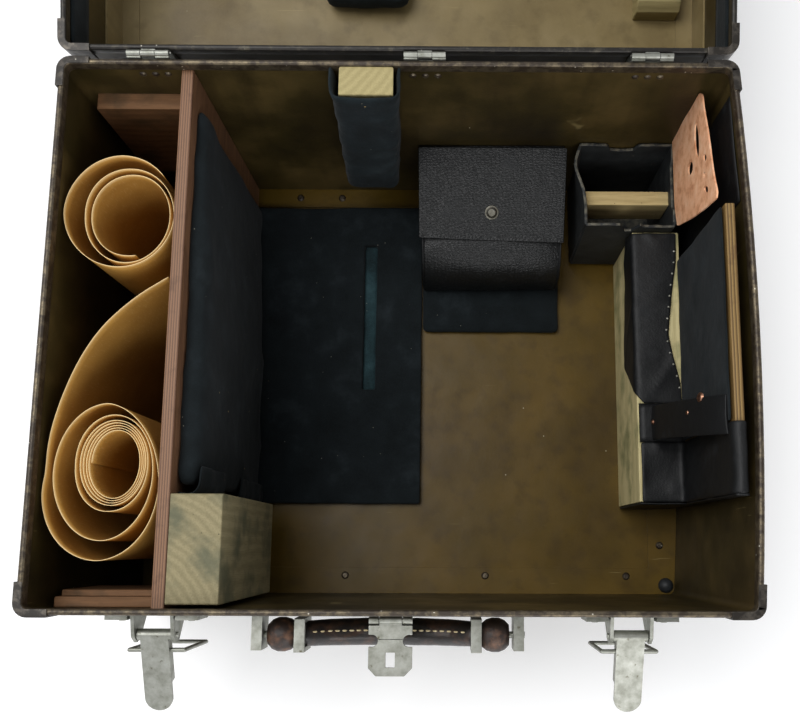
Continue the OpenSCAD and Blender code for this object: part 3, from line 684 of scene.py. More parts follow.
def floor_board():
    """Felt board on the floor, with its long slot, glued down in slow waves."""
    low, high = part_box("floor_pad")
    slot_low, slot_high = Vector((-39.5, -5.5, 0)) * MM, Vector((-29, 116, 0)) * MM
    cell = 4.5 * MM

    def cuts(a, b, c, d):
        parts = [(a, b), (b, c), (c, d)]
        ticks = [np.linspace(p, q, max(2, round((q - p) / cell) + 1))[:-1] for p, q in parts]
        return np.r_[np.concatenate(ticks), d]

    xs = cuts(low.x, slot_low.x, slot_high.x, high.x)
    ys = cuts(low.y, slot_low.y, slot_high.y, high.y)
    mesh = bmesh.new()
    corner = [[mesh.verts.new((x, y, low.z)) for y in ys] for x in xs]
    tiny = 1e-6
    for i in range(len(xs) - 1):
        for j in range(len(ys) - 1):
            inside = slot_low.x - tiny < xs[i] < slot_high.x - tiny
            if not (inside and slot_low.y - tiny < ys[j] < slot_high.y - tiny):
                mesh.faces.new([corner[i][j], corner[i + 1][j], corner[i + 1][j + 1], corner[i][j + 1]])
    loose = [v for v in mesh.verts if not v.link_faces]
    bmesh.ops.delete(mesh, geom=loose, context="VERTS")
    raised = bmesh.ops.extrude_face_region(mesh, geom=mesh.faces[:])
    for item in raised["geom"]:
        if isinstance(item, bmesh.types.BMVert):
            item.co.z = high.z - 0.4 * MM
    bmesh.ops.recalc_face_normals(mesh, faces=mesh.faces)
    verts, faces = taken_apart(mesh)
    made = piece("floor_felt_board", verts, faces, felt, "case", ["floor_pad"])
    lift = lambda p: (p[:, 2] > (low.z + high.z) / 2)
    disturb(made, lambda p: lift(p) * (ripple(p, 40, 1.1, 11) + crease(p, 70, 0.8, 12, (1, 2, 1))))
    round_edges(made, 1.6, 50, 3)


def slot_felt():
    """Thin felt left at the bottom of the floor board's slot."""
    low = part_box("floor_pad")[0]
    path = [(-40 * MM, 0), (-28.5 * MM, 0)]
    grid = extrude_path(path, (-6 * MM, 116.5 * MM), lambda a, b, s: (a, s, low.z + 1.0 * MM), 3,
                        lambda p: billow(p, 14, 0.5, 14))
    verts, faces = thick_sheet(grid, 1 * MM)
    made = piece("floor_slot_felt", verts, faces, teal_felt, "case")


def post_wrap():
    """Felt glued round the leaning post, flared and lapped over at its top."""
    low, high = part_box("post_felt")
    wood_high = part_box("rear_post")[1]
    width = 39 * MM
    lean = high.x - low.x - width
    t = 1.2 * MM
    left, right = high.x - width + t, high.x - t
    path = [(left, high.y), (left, low.y + 3 * MM), (left + 3 * MM, low.y + t),
            (right - 3 * MM, low.y + t), (right, low.y + 3 * MM), (right, high.y)]
    top = wood_high.z - 0.5 * MM

    def place(a, b, s):
        flare = np.clip((s - (top - 24 * MM)) / (24 * MM), 0, 1) ** 2 * 3.4 * MM
        middle_x = (left + right) / 2
        side = (a - middle_x) / (right - middle_x)
        shift = -lean * (top - s) / (top - low.z)
        reach = flare * (1 if side < 0 else 0.4)
        lap = 1.5 * MM * np.clip((s - top + 4 * MM) / (4 * MM), 0, 1) * (b < low.y + 6 * MM)
        return (a + side * reach + shift, b - flare * 0.4 * (b < low.y + 6 * MM) + lap, s)

    grid = extrude_path(path, (low.z, top), place, 3,
                        lambda p: billow(p, 15, 2.2, 21, (1, 1, 2)) + crease(p, 34, 1.3, 22))
    verts, faces = thick_sheet(grid, 2 * MM)
    made = piece("post_felt_wrap", verts, faces, pale_felt, "case", ["post_felt"])
    soften(made)


def pouch_strip():
    """Felt strip that the pouch stands on, its top and edges uneven."""
    low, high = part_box("pouch_base")
    verts, faces = rounded_block(low, high, 2 * MM, 5 * MM)
    made = piece("pouch_felt_strip", verts, faces, felt, "case", ["pouch_base"])
    disturb(made, lambda p: ripple(p, 18, 1.0, 31) * (p[:, 2] > low.z + MM))
    soften(made)


def pouch_body():
    """Leathercloth pouch: one strip from its mouth down over the nose, under and up the
    back wall, with a gusset closing each side."""
    low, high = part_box("pouch_bag")
    nose = (108 * MM, 57 * MM)
    rise = (high.z - nose[1]) / (high.y - nose[0])
    mouth = 142 * MM
    skin = 2 * MM
    outline = [(mouth, nose[1] + (mouth - nose[0]) * rise), nose, (98 * MM, 54.5 * MM),
               (87.5 * MM, 48.5 * MM), (79 * MM, 37 * MM), (76.2 * MM, 21 * MM), (77 * MM, low.z + 2.5 * MM),
               (82 * MM, low.z + skin / 2), (high.y - 5 * MM, low.z + skin / 2),
               (high.y - skin / 2, low.z + 5 * MM), (high.y - skin / 2, high.z - 2 * MM)]

    def place(a, b, s):
        middle = (low.x + high.x) / 2
        share = (s - middle) / (high.x - middle)
        edge = 3.0 * MM * share ** 4 * (b > low.z + 6 * MM) * (a < high.y - 8 * MM)
        return (s, a + edge * 0.7, b - edge)

    inset = skin / 2
    grid = extrude_path(outline, (low.x + inset, high.x - inset), place, 3,
                        lambda p: ripple(p, 26, 1.2, 41, (2, 1, 1)) + ripple(p, 8, 0.3, 42))
    verts, faces = thick_sheet(grid, skin)
    made = piece("pouch_body", verts, faces, lizard_cloth, "case", ["pouch_bag"])
    round_edges(made, 0.5, 60)
    for side, x in (("left", low.x + 1.3 * MM), ("right", high.x - 1.3 * MM)):
        line = resample(outline, 4 * MM)
        centre = line.mean(0)
        rows = [centre + (line - centre) * k for k in (0.02, 0.3, 0.6, 0.85, 0.985)]
        sheet = np.array([[(x, a, b) for a, b in row] for row in rows])
        bulge = ripple(sheet.reshape(-1, 3), 20, 1.0, 43).reshape(sheet.shape[:2])
        sheet[:-1, :, 0] += bulge[:-1]
        verts, faces = thick_sheet(sheet, 1.6 * MM)
        gusset = piece(f"pouch_gusset_{side}", verts, faces, black_cloth, "case")


def pouch_cover():
    """Stiff leathercloth flap over the pouch, its front edge just turned down."""
    low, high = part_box("pouch_flap")
    back_z, slope = 86.9 * MM, 0.476
    path = [(high.y - 0.2 * MM, back_z), (140 * MM, back_z - (high.y - 140 * MM) * slope),
            (low.y + 5 * MM, back_z - (high.y - low.y - 5 * MM) * slope),
            (low.y + 2.5 * MM, back_z - (high.y - low.y - 2.5 * MM) * slope - 0.2 * MM),
            (low.y + 0.6 * MM, low.z + 1 * MM)]

    def place(a, b, s):
        middle = (low.x + high.x) / 2
        share = (s - middle) / (high.x - middle)
        front = np.clip((high.y - a) / (high.y - low.y), 0, 1)
        return (s, a - 1.8 * MM * share * front, b + 0.9 * MM * abs(share) ** 3 * front)

    grid = extrude_path(path, (low.x + 1 * MM, high.x - 1.9 * MM), place, 2.5,
                        lambda p: ripple(p, 34, 0.7, 51) + ripple(p, 9, 0.16, 52))
    verts, faces = thick_sheet(grid, 1.8 * MM)
    made = piece("pouch_flap_cover", verts, faces, lizard_cloth, "flap", ["pouch_flap"])
    round_edges(made, 0.5, 60)


def torn(position, start, end):
    """1 between start and end, falling to 0 over a short ragged slope."""
    return float(np.clip((position - start) / 0.05, 0, 1) * np.clip((end - position) / 0.05, 0, 1))


def accessory_box():
    """Open box of covered board: its walls lean out a little and its rim is worn ragged,
    with a dip in the front wall."""
    low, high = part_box("accessory_box")
    wall = 3 * MM
    wide, deep = high.x - low.x, high.y - low.y
    inner = [(low.x + wall / 2, low.y + wall / 2), (high.x - wall / 2, low.y + wall / 2),
             (high.x - wall / 2, high.y - wall / 2), (low.x + wall / 2, high.y - wall / 2)]
    rim = []
    for k in range(4):
        a, b = np.array(inner[k]), np.array(inner[(k + 1) % 4])
        count = round(np.linalg.norm(b - a) / (2.5 * MM))
        rim += [a + (b - a) * i / count for i in range(count)]
    rim = np.array(rim)
    heights = np.linspace(low.z + wall, high.z, 30)
    levels = []
    for z in heights:
        share = (z - low.z) / (high.z - low.z)
        ring = []
        for x, y in rim:
            across, along = (x - low.x) / wide, (y - low.y) / deep
            drop = 2.2 * MM * abs(noise.noise(Vector((x * 110, y * 110, 3.3))))
            if y < low.y + 4 * MM:
                drop += torn(across, 0.4, 0.6) * 12 * MM + torn(across, 0.6, 1.1) * 3.5 * MM
            elif y > high.y - 4 * MM:
                drop += torn(across, 0.27, 0.62) * 8 * MM
            elif x > high.x - 4 * MM:
                drop += torn(along, 0.2, 0.8) * 5 * MM
            bow = 1.6 * MM * math.sin(math.pi * share) * noise.noise(Vector((x * 30, y * 30, share)))
            lean = 0.6 * MM * share ** 2
            toward = Vector((x - low.x - wide / 2, y - low.y - deep / 2)).normalized()
            splay = 7 * MM * share ** 3 * math.exp(-(((along - 0.74) / 0.25) ** 2)) * (x < low.x + 4 * MM)
            step_out = bow - lean
            ring.append((x + toward.x * step_out - splay, y + toward.y * step_out, z - drop * share ** 3))
        ring.append(ring[0])
        levels.append(ring)
    verts, faces = thick_sheet(np.array(levels).transpose(1, 0, 2), wall * 0.8)
    board = covered_board("black_covered_board")
    made = piece("accessory_box_walls", verts, faces, board, "case", ["accessory_box"])
    mesh = bmesh.new()
    mesh.from_mesh(made.data)
    bmesh.ops.remove_doubles(mesh, verts=mesh.verts, dist=0.05 * MM)
    bmesh.ops.recalc_face_normals(mesh, faces=mesh.faces)
    mesh.to_mesh(made.data)
    mesh.free()
    round_edges(made, 0.6, 50)
    floor_low = Vector((low.x + 1 * MM, low.y + 1 * MM, low.z))
    floor_high = Vector((high.x - 1 * MM, high.y - 1 * MM, low.z + wall))
    verts, faces = rounded_block(floor_low, floor_high, 1 * MM, 6 * MM)
    base = piece("accessory_box_floor", verts, faces, board, "case")
    soften(base)


def cradle_cloths():
    """Black cloth over the cradle: an apron down its left side, felt up the wall board,
    and the padded covering of its front end."""
    side_low, side_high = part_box("cradle_side")
    board_low, board_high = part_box("wall_board")
    apron_low, apron_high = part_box("cradle_apron")
    top = side_high.z
    skin = 1.5 * MM
    foot = apron_low.z - 15 * MM
    reach = board_low.x - 2 * MM
    path = [(side_low.x - 0.8 * MM, foot), (side_low.x - 0.8 * MM, top - MM),
            (side_low.x + 0.6 * MM, top + 0.7 * MM), (reach, top + 0.7 * MM)]
    line = resample(path, 1 * MM)
    walk = np.r_[0, np.cumsum(np.linalg.norm(np.diff(line, axis=0), axis=1))]
    fold = walk[np.argmax(line[:, 1] > top)]
    ys = np.linspace(apron_low.y, apron_high.y - MM, 46)
    hang = np.interp(ys / MM, (-28, -16, 2, 16, 50, 92, 101), (-4, 6, 30, 36, 29, 20, 19)) * MM
    bare = np.interp(ys / MM, (-28, -12, 6, 23, 50, 79, 101), (0, 0.5, 5, 8, 5, 0.5, 0)) * MM
    grid = np.empty((30, len(ys), 3))
    for j, y in enumerate(ys):
        at = np.linspace(fold - hang[j], walk[-1] - bare[j], 30)
        grid[:, j, 0] = np.interp(at, walk, line[:, 0])
        grid[:, j, 1] = y
        grid[:, j, 2] = np.interp(at, walk, line[:, 1])
    grid = puffed(grid, lambda p: billow(p, 20, 1.3, 61) + crease(p, 36, 1.0, 62, (1, 2, 1)))
    verts, faces = thick_sheet(grid, skin * 0.8)
    made = piece("cradle_apron_cloth", verts, faces, black_cloth, "case", ["cradle_apron"])
    soften(made)
    verts, faces = [], []
    for j in range(4, len(ys) - 3, 3):
        centre = grid[-2, j] + np.array((0, 0, 0.9 * MM))
        dome, quads = rounded_block(centre - 0.8 * MM, centre + 0.8 * MM, 0.8 * MM, 0.5 * MM)
        faces += [[i + len(verts) for i in quad] for quad in quads]
        verts += dome
    piece("cradle_apron_tacks", verts, faces, tack_metal, "case")

    felt_low, felt_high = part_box("board_felt")
    x = (felt_low.x + felt_high.x) / 2
    path = [(felt_low.y + MM, felt_low.z + MM), (felt_low.y + MM, felt_high.z)]
    grid = extrude_path(path, (felt_low.y, felt_high.y - 1 * MM), lambda a, b, s: (x, s, b), 4,
                        lambda p: billow(p, 25, 1.6, 63) + billow(p, 8, 0.4, 64))
    verts, faces = thick_sheet(grid, skin * 0.8)
    made = piece("board_felt_cover", verts, faces, felt, "case", ["board_felt"])
    soften(made)

    cover_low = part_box("cradle_cover")[0]
    strap_foot = felt_low.y - 0.5 * MM
    board_x = board_low.x - skin / 2
    path = [(side_low.x + 1.5 * MM, top + skin / 2), (board_x - 6 * MM, top + skin / 2),
            (board_x - 1 * MM, top + 2 * MM), (board_x, top + 8 * MM),
            (board_x, board_high.z - 2 * MM), (board_low.x + 1 * MM, board_high.z + skin / 2),
            (board_high.x - 1 * MM, board_high.z + skin / 2), (board_high.x, board_high.z - 1 * MM)]
    grid = extrude_path(path, (cover_low.y + 1 * MM, strap_foot), lambda a, b, s: (a, s, b), 3,
                        lambda p: billow(p, 18, 1.6, 65) + crease(p, 30, 1.0, 66))
    verts, faces = thick_sheet(grid, skin)
    made = piece("cradle_cover_cloth", verts, faces, black_cloth, "case", ["cradle_cover"])
    soften(made)

    path = [(side_low.x + 1 * MM, top + skin / 2), (side_high.x + 6 * MM, top + skin / 2),
            (board_x, top + skin / 2)]
    grid = extrude_path(path, (strap_foot, apron_low.y), lambda a, b, s: (a, s, b), 4,
                        lambda p: billow(p, 18, 0.8, 68))
    verts, faces = thick_sheet(grid, skin * 0.9)
    made = piece("cradle_shelf_cloth", verts, faces, black_cloth, "case")

    front = cover_low.y + skin / 2
    lower = extrude_path([(4 * MM, 0), (top + skin, 0)], (side_low.x, board_high.x),
                         lambda a, b, s: (s, front, a), 4, lambda p: -billow(p, 22, 1.2, 69))
    verts, faces = thick_sheet(lower, skin * 0.8)
    made = piece("cradle_front_cloth", verts, faces, black_cloth, "case")
    upper = extrude_path([(top, 0), (board_high.z + skin, 0)], (board_x - skin / 2, board_high.x),
                         lambda a, b, s: (s, front, a), 2, lambda p: -billow(p, 12, 0.6, 70))
    verts, faces = thick_sheet(upper, skin * 0.8)
    made = piece("board_front_cloth", verts, faces, black_cloth, "case")


def end_strap():
    """Leather strap arched from the shelf to the top of the wall board."""
    low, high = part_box("end_strap")
    reach = high.x - low.x
    rise = high.z - low.z
    skew = 9 * MM
    path = [(low.x + 4 * MM, low.z + 1 * MM), (low.x + 1.2 * MM, low.z + 2 * MM),
            (low.x + 2.2 * MM, low.z + rise * 0.25),
            (low.x + reach * 0.28, low.z + rise * 0.5), (low.x + reach * 0.54, low.z + rise * 0.74),
            (low.x + reach * 0.8, low.z + rise * 0.92), (high.x - 1.2 * MM, high.z - 1 * MM)]

    def place(a, b, s):
        share = (s - (low.y + skew + high.y) / 2) / (high.y - low.y - skew) * 2
        return (a + 0.8 * MM * share ** 2, s - skew * (b - low.z) / rise, b)

    grid = extrude_path(path, (low.y + skew + 0.5 * MM, high.y - 0.5 * MM), place, 2.5,
                        lambda p: ripple(p, 20, 0.3, 71) + ripple(p, 6, 0.1, 72))
    verts, faces = thick_sheet(grid, 2.2 * MM)
    made = piece("end_strap_leather", verts, faces, black_cloth, "case", ["end_strap"])
    round_edges(made, 0.6, 60)


def flat_outline(name, loops, thick):
    """Mesh of a flat sheet in X-Y with holes: the first loop is its edge."""
    curve = bpy.data.curves.new(name, "CURVE")
    curve.dimensions = "2D"
    curve.fill_mode = "BOTH"
    for loop in loops:
        spline = curve.splines.new("POLY")
        spline.points.add(len(loop) - 1)
        for point, (x, y) in zip(spline.points, loop):
            point.co = (x, y, 0, 1)
        spline.use_cyclic_u = True
    curve.extrude = thick / 2
    holder = bpy.data.objects.new(name, curve)
    bpy.context.scene.collection.objects.link(holder)
    graph = bpy.context.evaluated_depsgraph_get()
    mesh = bpy.data.meshes.new_from_object(holder.evaluated_get(graph))
    bpy.data.objects.remove(holder)
    return mesh


def oval(cx, cy, rx, ry, tilt=0, count=16):
    """Points of an ellipse in a plane."""
    turn = math.radians(tilt)
    out = []
    for i in range(count):
        a = 2 * math.pi * i / count
        x, y = rx * math.cos(a), ry * math.sin(a)
        across = x * math.cos(turn) - y * math.sin(turn)
        upward = x * math.sin(turn) + y * math.cos(turn)
        out.append((cx + across, cy + upward))
    return out


def tan_leather():
    """Stiff tan leather screen with a long slot and four holes cut in it, curling forward."""
    low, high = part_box("leather_partition")
    edge = [(high.y, low.z), (high.y, 150 * MM), (high.y - 1 * MM, 168 * MM), (150 * MM, 170 * MM),
            (127 * MM, 176.5 * MM), (113 * MM, 180 * MM), (98 * MM, 185.5 * MM), (82 * MM, high.z + 6 * MM),
            (84 * MM, 176 * MM), (87.5 * MM, 150 * MM), (92 * MM, 130 * MM),
            (96 * MM, 112 * MM), (101 * MM, low.z)]
    loops = [resample(edge + edge[:1], 3 * MM, 1)[:-1].tolist()]
    loops.append(oval(138.5 * MM, 152 * MM, 12.5 * MM, 4.4 * MM, -3, 20))
    loops.append(oval(126 * MM, 136 * MM, 4.6 * MM, 6.5 * MM, 20))
    loops.append(oval(118.8 * MM, 168 * MM, 4 * MM, 2.4 * MM, -60, 12))
    loops.append(oval(108.3 * MM, 165 * MM, 1.8 * MM, 2.2 * MM))
    loops.append(oval(97 * MM, 168 * MM, 2.2 * MM, 5 * MM, 30, 12))
    mesh = flat_outline("tan_leather", loops, 1.1 * MM)
    work = bmesh.new()
    work.from_mesh(mesh)
    bmesh.ops.remove_doubles(work, verts=work.verts, dist=1e-6)
    bmesh.ops.triangulate(work, faces=work.faces)
    long_edges = [e for e in work.edges if e.calc_length() > 7 * MM]
    bmesh.ops.subdivide_edges(work, edges=long_edges, cuts=2)
    bmesh.ops.triangulate(work, faces=work.faces)
    middle = (low.x + high.x) / 2
    for v in work.verts:
        y, z, off = v.co.x, v.co.y, v.co.z
        curl = 1.6 * MM * math.sin((high.y - y) / 26e-3) * (z - low.z) / (high.z - low.z)
        wave = 0.8 * MM * noise.noise(Vector((0, y * 40, z * 40)))
        v.co = Vector((middle - off + curl * 0.5 + wave, y, z))
    bmesh.ops.recalc_face_normals(work, faces=work.faces)
    verts, faces = taken_apart(work)
    # The leather's colours are set lighter than its own tan as painted light, standing in for the strong
    # light that falls on the screen.
    hide = saddle_leather("undyed_tan_leather_with_painted_light", "#eab087", "#c07c52", "#f3c8a4", 0.8)
    made = piece("tan_leather_screen", verts, faces, hide, "case", ["leather_partition"])
    round_edges(made, 0.35, 50)


def wall_lining():
    """Leathercloth glued to the right wall beside the box."""
    low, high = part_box("wall_lining")
    x_at = lambda y: high.x - 0.8 * MM - (y - low.y) * 0.045
    path = [(low.y + MM, 0), (high.y - 8 * MM, 0)]
    grid = extrude_path(path, (low.z, high.z), lambda a, b, s: (x_at(a), a, s), 5,
                        lambda p: ripple(p, 30, 0.3, 81))
    verts, faces = thick_sheet(grid, 0.8 * MM)
    made = piece("wall_lining_cloth", verts, faces, black_cloth, "case", ["wall_lining"])


def opened(point):
    """Where a point of the shut lid lies when the lid stands open."""
    return LID_TURN @ (Vector(point) - HINGE_LINE) + HINGE_LINE


def lid_pads():
    """Felt pad and edge strip inside the lid, laid out in the shut lid and turned open."""
    low, high = Vector((-59, 35, 265.5)) * MM, Vector((2, 105, 290)) * MM
    verts, faces = rounded_block(low, high, 8 * MM, 5 * MM)
    verts = [opened(v) for v in verts]
    made = piece("lid_felt_pad", verts, faces, pale_felt, "lid", ["lid_pad"])
    swell(made, 4, 4, 2)
    disturb(made, lambda p: ripple(p, 20, 0.8, 91) + crease(p, 40, 0.8, 92))
    glued_side = LID_TURN @ Vector((0, 0, 1))
    glue_line = opened(Vector((0, 0, 289.4)) * MM)
    for v in made.data.vertices:
        v.co -= max(0, (v.co - glue_line).dot(glued_side)) * glued_side
    soften(made)

    half_x, half_y, corner = 208 * MM, 166 * MM, 5 * MM
    loop = []
    for cx, cy, a0 in ((1, -1, -90), (1, 1, 0), (-1, 1, 90), (-1, -1, 180)):
        for k in range(7):
            a = math.radians(a0 + 15 * k)
            x = cx * (half_x - corner) + corner * math.cos(a)
            y = cy * (half_y - corner) + corner * math.sin(a)
            loop.append((x, y))
    loop.append(loop[0])
    line = resample(loop, 6 * MM)
    heights = np.linspace(206 * MM, 231 * MM, 6)
    grid = np.array([[opened((x, y, z)) for z in heights] for x, y in line])
    verts, faces = thick_sheet(grid, 1.2 * MM)
    made = piece("lid_seal_strip", verts, faces, felt, "lid", ["lid_seal"])
    disturb(made, lambda p: ripple(p, 22, 0.25, 93))


def coil(a0, a1, left, right, front, back, steps=72):
    """Points of a loose coil between limits that are read at each angle."""
    points = []
    for i in range(round((a1 - a0) * steps / 360) + 1):
        a = a0 + i * 360 / steps
        l, r, f, k = (np.interp(a, *zip(*table)) for table in (left, right, front, back))
        turn = math.radians(a)
        x = (l + r) / 2 + (r - l) / 2 * math.cos(turn)
        y = (f + k) / 2 + (k - f) / 2 * math.sin(turn)
        points.append((x, y))
    return points


def paper_roll(name, path, cad_node, slip_mm):
    """Roll of kraft paper along path, its turns slipped a little past each other."""
    low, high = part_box(cad_node)
    line = resample(np.array(path) * MM, 2.2 * MM)
    walk = np.linspace(0, 1, len(line))
    heights = np.linspace(0, 1, 24)
    grid = []
    for (x, y), s in zip(line, walk):
        slip = slip_mm * MM * (0.5 + 0.5 * noise.noise(Vector((s * 4, 0, 1.3)))) * s
        tremble = 0.5 * MM * noise.noise(Vector((x * 40, y * 40, 5)))
        top = high.z - slip - 0.7 * MM + tremble
        bottom = low.z + 1 * MM + slip_mm * MM * 0.3 * s
        grid.append([(x, y, bottom + (top - bottom) * h) for h in heights])
    grid = np.array(grid)
    verts, faces = thick_sheet(grid, 0.35 * MM)
    piece(name, verts, faces, paper, frame_body(cad_node), [cad_node])


def frame_body(cad_node):
    """The body that a CAD node rides on."""
    bodies = frame["record"]["behaviour"]["bodies"]
    return next(body for body, members in bodies.items() if cad_node in members)


def paper_rolls():
    """The two rolls in the left bay, on the same centre lines as their solids. The front
    one goes on into four tight turns in its core."""
    left, right = -206.85, -138.7
    rear = coil(
        40, 1000,
        [[180, left], [540, left + 13.4], [900, left + 17]],
        [[360, right], [720, right - 2.6]],
        [[270, 38.5], [630, 41.2], [990, 46]],
        [[90, 110.5], [450, 102], [810, 98.5]],
    )
    paper_roll("paper_rear", rear, "paper_roll_rear", 3)
    tail = [(right - 1, 32), (right - 20, 20), (right - 39, 2), (right - 52, -20),
            (right - 61, -43), (right - 66.5, -68)]
    front = coil(
        165, 2700,
        [[180, left], [540, left + 5.5], [900, left + 18.5], [1260, left + 21.2], [2700, left + 26.8]],
        [[360, right], [720, right - 3.8], [1080, right - 7], [2520, right - 12.6]],
        [[270, -139.1], [630, -127.5], [990, -110.4], [1350, -107], [2790, -101.4]],
        [[270, -60], [450, -46.2], [810, -53.2], [1170, -56.4], [2610, -62]],
    )
    paper_roll("paper_front", tail + front, "paper_roll_front", 6)


def handle_grip():
    """Rolled leather grip, sewn along its top edge with linen thread."""
    low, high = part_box("handle_grip")
    middle_x, middle_y = (low.x + high.x) / 2, (low.y + high.y) / 2
    pivot_z = 163 * MM
    reach = high.x - middle_x
    stations = [0, 18, 36, 48.2, reach / MM]
    drops = [-18.5, -17.5, -13, -5.5, -4]
    radii = [8.8, 8.8, 8.5, 8.1, 6.6]
    rings = []
    count = 28
    for t in np.linspace(-1, 1, 65):
        out = abs(t) * reach
        drop = np.interp(out / MM, stations, drops) * MM
        radius = np.interp(out / MM, stations, radii) * MM
        ring = []
        for k in range(count):
            a = 2 * math.pi * k / count
            from_seam = (a - math.pi * 0.62 + math.pi) % (2 * math.pi) - math.pi
            seam = 1 + 0.1 * math.exp(-((from_seam / 0.28) ** 2))
            lump = 1 + 0.03 * noise.noise(Vector((t * 9, math.cos(a), math.sin(a))))
            r = radius * seam * lump * 0.94
            ring.append((middle_x + t * reach, middle_y + r * math.cos(a), pivot_z + drop + r * math.sin(a)))
        rings.append(ring)
    verts = [p for ring in rings for p in ring]
    faces = []
    for i in range(len(rings) - 1):
        for k in range(count):
            n = (k + 1) % count
            faces.append([i * count + k, i * count + n, (i + 1) * count + n, (i + 1) * count + k])
    faces.append(list(range(count))[::-1])
    faces.append([(len(rings) - 1) * count + k for k in range(count)])
    hide = saddle_leather("black_saddle_leather", "#1d1815", "#120f0e", "#4a3325", 0.38)
    made = piece("handle_grip_leather", verts, faces, hide, "handle", ["handle_grip"])
    soften(made)

    verts, faces = [], []
    spacing, length, radius = 4.2 * MM, 3.0 * MM, 0.55 * MM
    row = math.radians(80)
    count = int(2 * (reach - 8 * MM) / spacing)
    for i in range(count):
        x = middle_x - (count - 1) * spacing / 2 + i * spacing
        out = abs(x - middle_x) / MM
        drop = np.interp(out, stations, drops) * MM
        r = (np.interp(out, stations, radii) * 0.955 + 0.1) * MM
        fall = np.interp(out + 1, stations, drops) - np.interp(out, stations, drops)
        slope = fall if x > middle_x else -fall
        centre = Vector((x, middle_y + r * math.cos(row), pivot_z + drop + r * math.sin(row)))
        along = Vector((1, 0, slope)).normalized()
        side = Vector((0, 1, 0))
        up = along.cross(side).normalized()
        start = len(verts)
        for end in (-1, -0.6, 0, 0.6, 1):
            width = radius * math.sqrt(max(0.04, 1 - end ** 4))
            for k in range(8):
                a = math.pi * k / 4
                bow = radius * 0.5 * (1 - end ** 2)
                across = side * width * math.cos(a)
                height = up * (width * math.sin(a) + bow)
                verts.append(centre + along * end * length / 2 + across + height)
        for level in range(4):
            for k in range(8):
                n = (k + 1) % 8
                base = start + level * 8
                faces.append([base + k, base + n, base + 8 + n, base + 8 + k])
        faces.append([start + k for k in range(8)][::-1])
        faces.append([start + 32 + k for k in range(8)])
    piece("handle_stitching", verts, faces, linen_thread("cream_linen_thread"), "handle")


# ---- build ----

set_camera()
scene = bpy.context.scene
scene.view_settings.view_transform = "Standard"
world = bpy.data.worlds.new("studio")
scene.world = world
world.use_nodes = True
light_room(world.node_tree)
middle = (0, 0.05, 0.1)
add_softbox("key", (-0.55, 0.3, 1.7), middle, 1.0, 20)
add_softbox("front_fill", (0.3, -1.5, 1.2), middle, 1.0, 12)
floor_verts = [(-4, -4, 0), (4, -4, 0), (4, 4, 0), (-4, 4, 0)]
floor_mesh = bpy.data.meshes.new("studio_floor")
floor_mesh.from_pydata(floor_verts, [], [(0, 1, 2, 3)])
floor_mesh.materials.append(studio_floor("white_studio_paper"))
floor = bpy.data.objects.new("studio_floor", floor_mesh)
scene.collection.objects.link(floor)

# Dark olive enamel for the outside of the case and lid and for the inner walls. On the inner walls, its
# darkness against the floor's enamel is painted shade, on top of real stains.
wall_enamel = stoved_enamel("stained_olive_enamel_with_painted_shade", "#14120a", "#342c15", "#574829", "#150f09", 0.2)
floor_enamel = stoved_enamel("khaki_floor_enamel", "#4c3c10", "#564313", "#624c19", "#362810", 0.35)
# Lighter copy of the khaki enamel for the inside of the lid: painted light, as the lid's inside faces up
# towards the lamps.
lid_enamel = stoved_enamel("khaki_lid_enamel_painted_light", "#6a5a38", "#80704b", "#8f7f5b", "#4d4026", 0.4)
edge_metal = rolled_edge_metal("worn_rolled_edge", "#766b57", "#32291f", 0.55)
lid_edge = rolled_edge_metal("blackened_rolled_edge", "#5d584d", "#1e1b17", 0.62)
cap_metal = rolled_edge_metal("scratched_cap_metal", "#68625a", "#26221d", 0.58)
zinc = zinc_plate("dull_zinc_plate")
nickel = zinc_plate("nickel_stud", "#77746a", "#55534b", "#4c473b")
tack_metal = zinc_plate("pale_tack_heads", "#c9c7bd", "#a3a094", "#7b7767")
paper = kraft_paper("aged_kraft_paper")
divider_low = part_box("divider_board")[0]
board_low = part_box("wall_board")[0]
divider_ply = plywood("varnished_birch_ply", "#725138", "#876347", "#54392a", divider_low.x)
board_ply = plywood("board_ply", "#73592f", "#94794a", "#4f3b20", board_low.x, 2.0)
block_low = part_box("corner_block")[0]
block_wood = timber(
    "weathered_pine_block", "Z", "#8f8565", "#5c5539", "#4d5140", 0.46,
    (block_low.x - 0.03, block_low.y - 0.02, 0),
)
post_low, post_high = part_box("rear_post")
post_wood = timber(
    "olive_pine_post", "Z", "#a89b6e", "#7a7048", "#626344", 0.55,
    (post_low.x - 0.02, post_high.y + 0.03, 0),
)
cradle_wood = timber("green_stained_pine", "Y", "#d2c594", "#a09363", "#747850", 0.5)
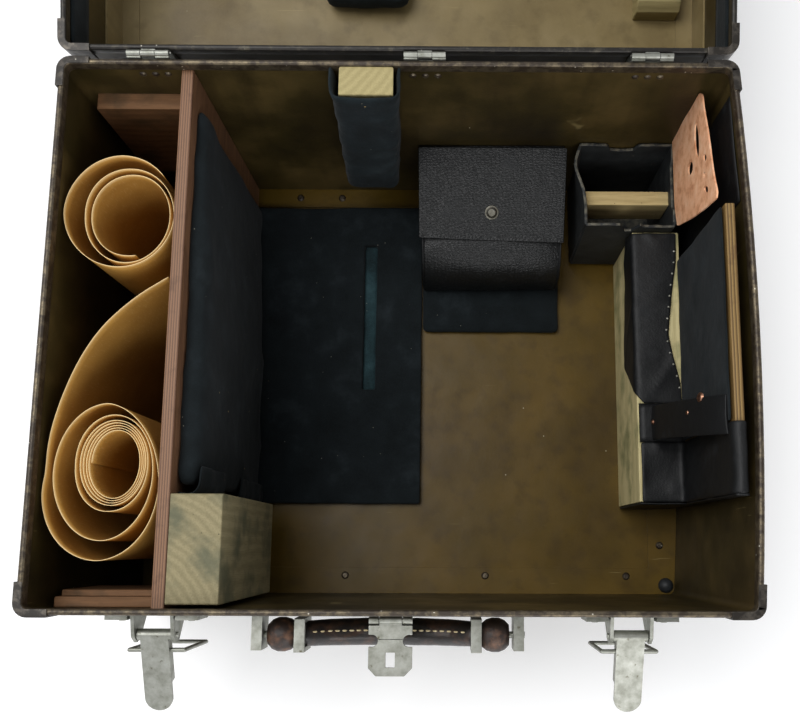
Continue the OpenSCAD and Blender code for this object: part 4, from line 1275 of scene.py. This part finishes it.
batten_wood = timber("pale_batten", "X", "#c0ab7a", "#8d7a4d", "#6d6848", 0.6)
brown_wood = timber("brown_stained_batten", "X", "#7d5a3b", "#513723", "#3d3220", 0.5)
lid_wood = timber("lid_block_pine", "X", "#9a8c60", "#6f6340", "#5c5a3c", 0.5)

# The inner walls take the dark enamel as painted shade; the floor keeps the khaki enamel.
dress(wall_enamel, 0.4, "case_walls")
dress(floor_enamel, 0.4, "case_floor", "floor_flange")
# The lid frame and the lid shell's upward faces, its inner panel, take the lighter lid enamel as painted
# light.
dress(lid_enamel, 0.4, "lid_frame")
dress(wall_enamel, 0.5, "lid_shell")
line_faces("lid_shell", lid_enamel, Vector((0, 0, 1)))
dress(edge_metal, 1.3, "rim_binding")
dress(lid_edge, 1.3, "lid_rim")
dress(cap_metal, 0.35, "case_corner_caps", "lid_corner_caps")
dress(zinc, 0.3, "hasp_bracket", "hasp_plate", "hasp_staple", "lid_catches")
dress(zinc, 0.35, "latch_base_left", "latch_lever_left", "latch_base_right", "latch_lever_right")
dress(zinc, 0.1, "latch_bail_left", "latch_bail_right")
dress(zinc, 0.5, "handle_posts", "handle_ferrules", "case_hinge_leaves", "lid_hinge_leaves")
dress(edge_metal, 0.3, "flange_rivets", "hinge_rivets")
dress(nickel, 0.2, "stud_cap", "stud_socket")
dress(old_copper("old_copper"), 0.3, "copper_rivets")
dress(black_rubber("black_rubber"), 0.3, "corner_plug")
dress(divider_ply, 0.7, "divider_board")
dress(board_ply, 0.7, "wall_board")
dress(block_wood, 1.2, "corner_block")
dress(post_wood, 1.2, "rear_post")
dress(cradle_wood, 0.8, "cradle_side", "cradle_shelf", "cradle_end")
dress(batten_wood, 0.8, "box_divider")
dress(brown_wood, 0.8, "rear_cleat", "front_cleat")
dress(lid_wood, 1.0, "lid_block")

divider_pad()
divider_pad_ears()
floor_board()
slot_felt()
post_wrap()
pouch_strip()
pouch_body()
pouch_cover()
accessory_box()
cradle_cloths()
end_strap()
tan_leather()
wall_lining()
lid_pads()
paper_rolls()
handle_grip()
dress(saddle_leather("scuffed_leather_ends", "#2b1f19", "#17110e", "#6a4a35", 0.5), 0.6, "handle_knobs")
